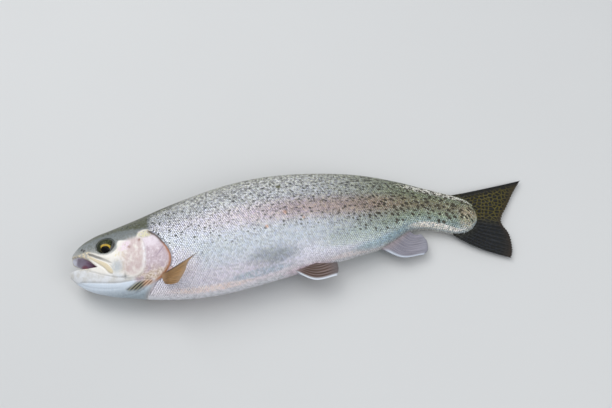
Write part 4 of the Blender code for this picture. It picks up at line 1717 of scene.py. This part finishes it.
    def flank(self, w: Wiring, at: Place) -> Socket:
        """Wires the bands, blush and patches of the trunk and tail stem, some of the patches painted
        highlights.

        Args:
            w: the material.
            at: where they are read.

        Returns:
            The colour.
        """
        front, rear = w.ramp(at.height, self.front_bands), w.ramp(at.height, self.rear_bands)
        colour = w.mix(w.ease(24, 37, at.s), front, rear)
        band = w.ease(0.22, 0.02, w.math("ABSOLUTE", w.minus(at.lane, 0.08)))
        colour = w.over(colour, w.ramp(w.times(at.s, 0.02), self.blush), band, w.ease(9, 25, at.s, 0.75),
                        w.ease(38, 33, at.s))
        speckle = w.ease(0.41, 0.49, w.noise(at.body, 7, 3))
        for patch in self.patches:
            share = w.near((at.s, at.lane), patch.oval, patch.share)
            colour = w.over(colour, patch.colour, *((share, speckle) if patch.speckled else (share,)))
        flecks = w.ease(0.52, 0.66, w.noise(at.body, 4.5, 3))
        colour = w.over(colour, self.fleck, flecks, w.ease(28, 38, at.s, 0.6))
        colour = w.shaded(colour, w.noise(at.body, 2.2, 5), (0.3, 0.36), (0.7, 0.66), 0.55)
        tint = w.ramp(w.noise(at.body, 5.0, 3), self.tints)
        return w.mix(w.ease(-1.3, 0.1, at.lane, 0.75), colour, tint, "OVERLAY")

    def spots(self, w: Wiring, at: Place) -> Socket:
        """Wires the dark spots, large and fine, denser towards the back and larger towards the tail.

        Args:
            w: the material.
            at: where they are read.

        Returns:
            Their share.
        """
        place = w.stirred(w.stretched(w.attribute("flat"), (0.85, 1.1, 1.0)), 3.0, 0.09)
        dense = w.minus(at.lane, w.scaled(w.ease(24, 38, at.s), -0.36, -0.46))
        large, own, size = w.cells(place, 1.9)
        reach = w.scaled(size, 0.12, w.plus(w.ease(26, 38, at.s, 0.13), 0.11))
        there = w.less(own, w.ease(0.0, 0.8, dense, 0.92))
        big = w.times(w.ease(0.04, -0.04, w.minus(large, reach)), there)
        small, own, _ = w.cells(place, 4.2)
        there = w.less(own, w.ease(-0.1, 1.1, dense, 0.8))
        fine = w.times(w.ease(0.31, 0.17, small), there, 0.9)
        return w.times(w.greater(big, fine), w.ease(-0.15, 0.4, dense, 0.98))

    def face(self, w: Wiring, at: Place) -> Socket:
        """Wires the head's colours, with painted shade in its hollows, grooves and creases and under the jaw,
        and a painted highlight on the preopercle's edge.

        Args:
            w: the material.
            at: where they are read.

        Returns:
            The colour.
        """
        cover, cheek, jaw = w.read("face")
        cream, rim, rays = w.read("trim")
        gold, dark, freckle = w.read("glints")
        crown, _, ridge = w.read("upper")
        olive, under, wrinkle = w.read("folds")
        dip, _, _ = w.read("dips")
        blotch, grain = w.noise(at.body, 1.6, 4), w.noise(at.body, 6, 4)
        streak = w.noise(w.stretched(at.body, (2.4, 0.9, 1.0)), 2.6, 5)
        pale = w.mix(w.ease(0.4, 0.6, grain), self.snout, self.cream)
        colour = w.mix(crown, w.mix(w.ease(2.7, 1.8, at.s), self.cheek, pale), self.top(w, at, grain, olive))
        fleck, own, _ = w.cells(w.stirred(w.attribute("flat"), 4, 0.1), 2.2)
        fleck = w.times(w.ease(0.27, 0.17, fleck), w.less(own, 0.7))
        colour = w.over(colour, self.spot, fleck, crown, w.ease(0.56, 0.66, at.height))
        soft = w.noise(w.stretched(at.body, (1.3, 0.9, 1.0)), 1.7, 2)
        colour = w.over(colour, self.pink(w, at, soft), cheek)
        bright = w.near((at.s, at.u), self.bright)
        colour = w.over(colour, self.cheek_bright, bright, w.ease(0.4, 0.5, grain, 0.8), cheek)
        colour = w.over(colour, self.wrinkle, wrinkle, w.ease(0.35, 0.6, grain, 0.3))
        # painted shade of the hollow behind the jaw bone
        colour = w.over(colour, self.dip, dip, w.ease(0.25, 0.55, streak, 0.95))
        colour = w.over(colour, self.chin(w, at, blotch, under), jaw)
        colour = w.over(colour, self.gill_cover(w, at, (blotch, grain, streak)), cover)
        # painted highlight along the preopercle's raised edge
        colour = w.over(colour, self.ridge, ridge, w.ease(0.2, 0.6, streak, 0.8))
        colour = w.over(colour, self.gold, gold, w.ease(0.4, 0.56, grain, 0.95))
        colour = w.over(colour, self.gold_grain, gold, w.ease(0.45, 0.38, grain, 0.7))
        colour = w.shaded(colour, streak, (0.32, 0.38), (0.68, 0.62), 0.4)
        colour = w.over(colour, self.cream, cream, 0.9)
        colour = w.over(colour, self.rays(w, at, blotch), rays, 0.97)
        colour = w.over(colour, w.mix(w.ease(-0.8, 0.3, at.u), self.rim, self.rim_high), rim, 0.95)
        colour = w.over(colour, self.freckle, freckle, 0.9)
        # the dark ring round the eye, and painted shade in the head's grooves, creases, nostrils and gill slit
        return w.over(colour, self.dark, dark, 0.85)

    def top(self, w: Wiring, at: Place, grain: Socket, olive: Socket) -> Socket:
        """Wires the dark crown of the head and its olive nape."""
        colour = w.mix(w.ease(0.4, 0.65, grain, 0.5), w.ramp(at.height, self.crown_bands), self.crown_grain)
        return w.over(colour, self.olive, olive, w.ease(0.25, 0.5, grain))

    def pink(self, w: Wiring, at: Place, soft: Socket) -> Socket:
        """Wires the cheek, cream in front and pink behind."""
        ground = w.mix(w.ease(0.48, 0.6, soft), self.cheek, self.cheek_yellow)
        return w.over(ground, self.cheek_pink, w.ease(4.8, 6.6, at.s), w.ease(0.1, 0.62, soft))

    def chin(self, w: Wiring, at: Place, blotch: Socket, under: Socket) -> Socket:
        """Wires the lower lip, and the jaw under its crease with painted shade darkening it towards the throat.
        """
        colour = w.mix(under, w.mix(w.ease(0.3, 0.75, blotch), self.lip, self.lip_grey), self.jaw)
        # painted shade, darker towards the lower edge of the head
        return w.over(colour, self.throat, w.ease(-3.7, -4.9, at.u), under)

    def gill_cover(self, w: Wiring, at: Place, noises: tuple[Socket, Socket, Socket]) -> Socket:
        """Wires the gill cover.

        Args:
            w: the material.
            at: where it is read.
            noises: coarse, fine and streaky noise.

        Returns:
            The colour.
        """
        blotch, grain, streak = noises
        pale = w.greater(w.ease(-0.9, 0.3, at.u, 0.9), w.ease(0.54, 0.64, streak, 0.5))
        colour = w.mix(pale, self.cover, self.cover_pale)
        colour = w.over(colour, self.cover_violet, w.ease(0.47, 0.36, blotch, 0.5))
        colour = w.over(colour, self.cover_pale, w.ease(0.5, 0.62, grain, 0.3))
        along, over = self.crease_run
        aside = (w.scaled(at.s, along, w.times(at.u, over)), w.scaled(at.s, over, w.times(at.u, -along)))
        s, u = self.crease_at
        # painted shade of the fold across the gill cover
        fold = w.near(aside, ((s * along + u * over, s * over - u * along), self.crease_half), 0.55)
        colour = w.over(colour, self.cover_crease_shade, fold)
        low = w.ease(-1.9, -3.3, at.u)
        return w.over(colour, w.ramp(grain, self.cover_low), low, w.ease(0.3, 0.6, blotch))

    def rays(self, w: Wiring, at: Place, blotch: Socket) -> Socket:
        """Wires the branchiostegal rays and the skin between them.

        Args:
            w: the material.
            at: where they are read.
            blotch: coarse noise, which makes them uneven.

        Returns:
            The colour.
        """
        rise = w.scaled(at.s, -self.ray_slope, at.u)
        wave = w.math("SINE", w.times(rise, 2 * math.pi / self.ray_spacing))
        between = w.ease(-0.5, 0.5, w.plus(wave, w.minus(blotch, 0.5)))
        ray, web = (self.ray, self.ray_rear), (self.ray_web, self.ray_web_rear)
        return w.mix(between, *(w.mix(w.ease(7.3, 8.0, at.s), *pair) for pair in (ray, web)))


@dataclass(frozen=True)
class SkinFinish:
    """Wet bare skin."""

    markings: TroutMarkings
    shine: float = 0.3
    roughness: float = 0.26
    uneven: float = 0.2  # how much rougher it gets in places

    def make(self) -> Material:
        """Wires the material.

        Returns:
            The material.
        """
        w = Wiring("trout_skin")
        colour, silver = self.markings.paint(w)
        body = w.attribute("body")
        w.raise_by(w.plus(w.noise(body, 14, 4), w.noise(body, 45, 2)), 0.35)
        w.set(Base_Color=colour, Metallic=w.times(silver, self.shine),
              Roughness=w.scaled(w.noise(body, 5, 3), self.uneven, self.roughness),
              Specular_IOR_Level=0.32, Coat_Weight=0.25, Coat_Roughness=0.1)
        return w.material


@dataclass(frozen=True)
class ScaleFinish:
    """Wet silvery scales with the skin's markings, a tone of each scale's own that also paints sparkle, and
    free edges darkened partly by their own margins and partly by painted shade.
    """

    markings: TroutMarkings
    shine: float = 0.25
    roughness: float = 0.21
    uneven: float = 0.16  # how much rougher some scales are

    def make(self) -> Material:
        """Wires the material.

        Returns:
            The material.
        """
        w = Wiring("trout_scales")
        colour, silver = self.markings.paint(w)
        share, tone, _ = w.read("scale")
        lane, _, _ = w.read("lane")
        # each scale's own tone, spread wider towards the back, also painting the sparkle of light off single
        # scales
        spread = w.plus(w.ease(0.0, 0.6, lane, 0.65), 0.2)
        shade = w.plus(w.times(w.minus(tone, 0.5), spread), 1.12)
        # darker free rear edges, deeper towards the back and on the darker scales: partly the scales' own
        # margins, partly painted shade along their overlaps
        dark = w.less(tone, w.ease(-0.8, 0.7, lane, 0.3))
        deep = w.plus(w.ease(-0.9, 0.3, lane, 0.15), w.times(dark, 0.3))
        edge = w.times(w.ease(0.76, 0.96, share), w.plus(deep, 0.6))
        shade = w.times(shade, w.minus(1.0, edge))
        grey = w.node("ShaderNodeCombineColor", shade, shade, shade).outputs[0]
        w.set(Base_Color=w.mix(1.0, colour, grey, "MULTIPLY"), Metallic=w.times(silver, self.shine),
              Roughness=w.scaled(tone, self.uneven, self.roughness),
              Specular_IOR_Level=0.38, Coat_Weight=0.2, Coat_Roughness=0.12)
        return w.material


@dataclass(frozen=True)
class FinFinish:
    """Web and rays of a fin."""

    name: str
    web: Colour
    ray: Colour
    base: Colour
    tip: Colour
    lead: Colour  # along the leading ray
    lead_share: float = 0.0
    spot_share: float = 0.0
    lower: Colour | None = None  # of the tail's lower lobe
    spot: Colour = (0.008, 0.008, 0.006)

    def make(self) -> Material:
        """Wires the material.

        Returns:
            The material.
        """
        w = Wiring(self.name)
        web, body = w.attribute("web"), w.attribute("body")
        across, along, ray = w.parts(web)
        colour = w.over(self.web, self.ray, ray, 0.75)
        if self.lower:
            colour = w.over(colour, self.lower, w.ease(0.42, 0.6, across))
        colour = w.over(colour, self.base, w.ease(0.3, 0.02, along))
        colour = w.over(colour, self.tip, w.ease(0.72, 1.0, along, 0.8))
        streak = w.noise(w.stretched(web, (26.0, 2.0, 0.0)), 1.0, 3)
        colour = w.shaded(colour, streak, (0.3, 0.3), (0.7, 0.7), 0.6)
        if self.spot_share:
            net = w.net(w.stirred(w.stretched(body, (0.8, 1.0, 1.0)), 3, 0.08), 2.5)
            tips = w.ease(1.0, 0.85, along, self.spot_share)
            colour = w.over(colour, self.spot, w.ease(0.07, 0.17, net), tips)
        if self.lead_share:
            lead = w.ease(0.13, 0.03, across, self.lead_share)
            colour = w.over(colour, self.lead, lead, w.ease(0.08, 0.25, along))
        w.raise_by(w.plus(w.times(ray, 1.5), w.noise(body, 18, 3)), 0.3)
        w.set(Base_Color=colour, Roughness=0.42, Specular_IOR_Level=0.2, Coat_Weight=0.1, Coat_Roughness=0.15)
        return w.material


@dataclass(frozen=True)
class EyeFinish:
    """Glossy eyeball: black pupil, golden ring that is widest above, dark olive round it."""

    pupil: float = 0.325  # quarter turns from the gaze to the pupil's edge
    ring: float = 0.15
    ring_below: float = 0.004
    black: Colour = (0.002, 0.002, 0.002)
    olive: Colour = (0.11, 0.13, 0.055)
    olive_dark: Colour = (0.018, 0.019, 0.011)
    gold: Colour = (0.62, 0.44, 0.05)
    gold_dark: Colour = (0.30, 0.16, 0.05)

    def make(self) -> Material:
        """Wires the material.

        Returns:
            The material.
        """
        w = Wiring("trout_eye")
        angle, back, up = w.read("gaze")
        grain = w.noise(w.attribute("body"), 12, 4)
        thick = w.scaled(w.ease(0.25, 0.75, up), self.ring, self.ring_below)
        over = w.minus(w.scaled(back, 0.03, angle), self.pupil)
        golden = w.scaled(grain, 0.9, w.minus(w.math("DIVIDE", over, thick), 0.45))
        outer = w.mix(w.ease(0.48, 0.7, grain), self.olive_dark, self.olive)
        inner = w.mix(w.ease(0.3, 0.6, grain), self.gold_dark, self.gold)
        colour = w.mix(w.ease(1.25, 0.75, golden), outer, inner)
        colour = w.over(colour, self.black, w.ease(0.02, -0.02, over))
        w.set(Base_Color=colour, Roughness=0.3, Specular_IOR_Level=0.08)
        w.set(Coat_Weight=0.22, Coat_Roughness=0.03, Coat_IOR=1.36)
        return w.material


# ---- studio


@dataclass
class Studio:
    """Pale floor, soft light and the camera."""

    focus: Triple = (0.0064, 0.0382, 0.0)
    distance: float = 0.952
    elevation: float = 63.0
    azimuth: float = -7.3
    lens: float = 50.0
    floor_size: float = 8.0
    floor_colours: tuple[Colour, Colour] = ((0.61, 0.61, 0.60), (0.64, 0.64, 0.63))
    sky: Colour = (0.80, 0.85, 0.92)
    sky_power: float = 0.58
    lamps: tuple[tuple[Triple, float, float], ...] = (  # place, size, power
        ((-0.7, 0.9, 1.5), 1.2, 14.0), ((0.9, -0.9, 1.2), 0.9, 7.0), ((0.1, 0.2, 2.0), 1.4, 8.0),
    )

    def build(self) -> None:
        """Builds the studio."""
        self.floor()
        for place, size, power in self.lamps:
            light = bpy.data.lights.new("softbox", "AREA")
            light.energy, light.size = power, size
            lamp = linked("softbox", light)
            lamp.location = place
            lamp.rotation_euler = (Vector(self.focus) - lamp.location).to_track_quat("-Z", "Y").to_euler()
        world = bpy.data.worlds.new("studio")
        bpy.context.scene.world = world
        world.use_nodes = True
        glow = world.node_tree.nodes["Background"].inputs
        glow["Color"].default_value = (*self.sky, 1)
        glow["Strength"].default_value = self.sky_power
        bpy.context.scene.view_settings.view_transform = "Standard"
        self.camera()

    def floor(self) -> None:
        """A plain pale floor."""
        half = self.floor_size / 2
        mesh = bpy.data.meshes.new("floor")
        corners = [(-half, -half, 0), (half, -half, 0), (half, half, 0), (-half, half, 0)]
        mesh.from_pydata(corners, [], [(0, 1, 2, 3)])
        w = Wiring("studio_floor")
        place = w.node("ShaderNodeTexCoord").outputs["Object"]
        w.set(Base_Color=w.mix(w.noise(place, 3), *self.floor_colours), Roughness=0.7)
        mesh.materials.append(w.material)
        linked("floor", mesh)

    def camera(self) -> None:
        """The camera, looking down on the fish from its belly's side."""
        turn, rise = math.radians(self.azimuth), math.radians(self.elevation)
        away = Vector((math.sin(turn) * math.cos(rise), -math.cos(turn) * math.cos(rise), math.sin(rise)))
        data = bpy.data.cameras.new("camera")
        data.lens = self.lens
        camera = linked("camera", data)
        camera.location = Vector(self.focus) + away * self.distance
        camera.rotation_euler = away.to_track_quat("Z", "Y").to_euler()
        bpy.context.scene.camera = camera


# ---- the whole fish


FINS = (
    RayedFin("dorsal_fin", (
        ((198, 56, 0), (212, 55.5, 0), (227, 54.3, 0), (242, 52.8, 0), (257, 50.8, 0)),
        ((245, 65, -12.5), (254, 63.5, -13), (263, 61, -11.5), (271, 57.5, -8), (275, 54, -4)),
    ), 13, "olive_fin", "spotted_fin", root=1.3),
    RayedFin("adipose_fin", (
        ((371, 28, 0), (375, 27, 0), (379, 26, 0), (383, 25, 0)),
        ((383, 31.5, -6), (386, 30, -6), (386, 28, -5), (385.5, 26, -3)),
        ((391, 31.5, -9), (395, 29.5, -9), (393.5, 27.5, -8), (389, 25.5, -5)),
    ), 4, "adipose_fin", "spotted_fin", root=1.6, edge=0.8, fray=0.0, ripple=0.0),
    RayedFin("anal_fin", (
        ((321, -40, 0), (331, -36, 0), (341, -32, 0), (351, -27, 0), (361, -21, 0)),
        ((349, -53.2, -1), (354, -48.5, -1), (359, -42, -1), (364, -34.5, -0.5), (368, -27, 0)),
        ((380, -49, -2), (385, -43.5, -2), (385, -37, -1.5), (382.5, -31, -1), (377, -26, 0)),
    ), 12, "anal_fin", "clear_fin", root=1.4),
    RayedFin("caudal_fin", (
        ((403, 22.5, 0), (419, 17, 0), (427, 10, 0), (429, 0, 0), (427, -9, 0), (419, -15, 0),
         (406, -18, 0)),
        ((447, 37.3, 0), (454, 28, 0), (455, 14, 0), (451, 0, 0), (454, -13, 0), (452, -27, 0),
         (441, -34.3, 0)),
        ((492.5, 51.5, 0), (484.5, 39, 0), (474.5, 19, 0), (466.5, 0, 0), (474, -15, 0), (476.5, -33, 0),
         (474.5, -44, 0)),
    ), 19, "tail_fin", "spotted_fin", root=2.4, edge=0.5, fray=1.2),
    RayedFin("pectoral_fin_left", (
        ((93, -34, 18), (94, -36, 17.5), (95, -38, 17), (96, -40, 16), (97, -42, 14.5)),
        ((112.5, -34.5, 38.5), (109, -38, 35), (106, -42, 30), (102.5, -45.5, 26), (100, -46, 21)),
        ((131.5, -34.5, 57), (121.5, -39.8, 50), (117, -46, 42), (110, -50.5, 34), (104, -49.5, 27)),
    ), 14, "pectoral_fin", "clear_fin", root=1.1),
    RayedFin("pectoral_fin_right", (
        ((93, -34, -18), (94, -36, -17.5), (95, -38, -17), (96, -40, -16), (97, -42, -14.5)),
        ((147, -33, -26.3), (143, -38, -26.3), (136, -42, -26), (126, -43.5, -25), (114, -44.5, -22.5)),
    ), 14, "pectoral_fin", "clear_fin", root=1.1, ripple=0.2),
    RayedFin("pelvic_fin_left", (
        ((219, -50.5, 6), (223, -50.3, 7), (227, -50, 7.6), (231, -49.5, 8.3), (235, -49, 9)),
        ((244, -67.5, 1), (247, -62.5, 2.5), (249, -57, 4.5), (249.5, -52.5, 7), (248, -49.5, 9)),
        ((270, -65.3, -4), (273, -58.5, -3), (273, -52, 0), (269, -47.5, 3), (260, -47, 7)),
    ), 10, "pelvic_fin", "clear_fin"),
    RayedFin("pelvic_fin_right", (
        ((219, -50.5, -6), (223, -50.3, -7), (227, -50, -7.6), (231, -49.5, -8.3), (235, -49, -9)),
        ((244, -57, -17), (246.5, -53, -17.5), (247.5, -50, -18), (247.5, -47, -18.5), (247, -45, -19)),
        ((268, -53, -24), (271, -47.5, -24.3), (269.5, -43, -24.5), (264, -40.5, -24.5), (256, -41.5, -24)),
    ), 10, "pelvic_fin", "clear_fin", ripple=0.2),
)

FIN_FINISHES = (
    FinFinish("olive_fin", (0.14, 0.13, 0.07), (0.20, 0.19, 0.10), (0.15, 0.15, 0.10), (0.12, 0.10, 0.06),
              (0.22, 0.20, 0.14), spot_share=0.9),
    FinFinish("adipose_fin", (0.15, 0.16, 0.09), (0.15, 0.16, 0.09), (0.16, 0.18, 0.11), (0.04, 0.04, 0.03),
              (0.04, 0.04, 0.03), 0.6, spot_share=0.7),
    FinFinish("anal_fin", (0.23, 0.22, 0.26), (0.33, 0.31, 0.34), (0.36, 0.30, 0.31), (0.27, 0.27, 0.31),
              (0.60, 0.65, 0.73), 0.8),
    FinFinish("tail_fin", (0.075, 0.060, 0.010), (0.10, 0.082, 0.014), (0.05, 0.05, 0.03),
              (0.03, 0.020, 0.012), (0.008, 0.008, 0.008), 0.9, 0.97, (0.012, 0.014, 0.018)),
    FinFinish("pectoral_fin", (0.34, 0.195, 0.085), (0.42, 0.25, 0.11), (0.42, 0.26, 0.15),
              (0.42, 0.28, 0.17), (0.07, 0.055, 0.045), 0.9),
    FinFinish("pelvic_fin", (0.085, 0.05, 0.035), (0.31, 0.24, 0.23), (0.40, 0.31, 0.31), (0.16, 0.14, 0.14),
              (0.72, 0.76, 0.82), 0.95),
)


def dress(obj: Object, material: Material) -> None:
    """Gives a piece its material and its body, and reports it.

    Args:
        obj: the piece.
        material: its finish.
    """
    obj.data.materials.append(material)
    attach(obj, BODY)
    LOG.info("%s: %d faces", obj.name, len(obj.data.polygons))


def main() -> None:
    """Builds the fish, piece by piece, and the studio round it."""
    logging.basicConfig(level=logging.INFO, format="%(name)s: %(message)s")
    form, seat = BodyForm(), EyeSeat()
    lines = HeadLines(form, seat)
    dresser = Dresser(form, find_pose(seat), lines)
    markings = TroutMarkings()
    dress(FishSkin(HeadField(form, lines, Mouth()), dresser).build(), SkinFinish(markings).make())
    scales = ScaleFinish(markings).make()
    for piece in ScaleCoat(form, dresser, lines).build():
        dress(piece, scales)
    finishes = {finish.name: finish.make() for finish in FIN_FINISHES}
    for fin in FINS:
        dress(fin.build(dresser), finishes[fin.finish])
    glossy = EyeFinish().make()
    for side in Side:
        dress(TroutEye(seat, side).build(dresser), glossy)
    Studio().build()


if __name__ == "__main__":
    main()
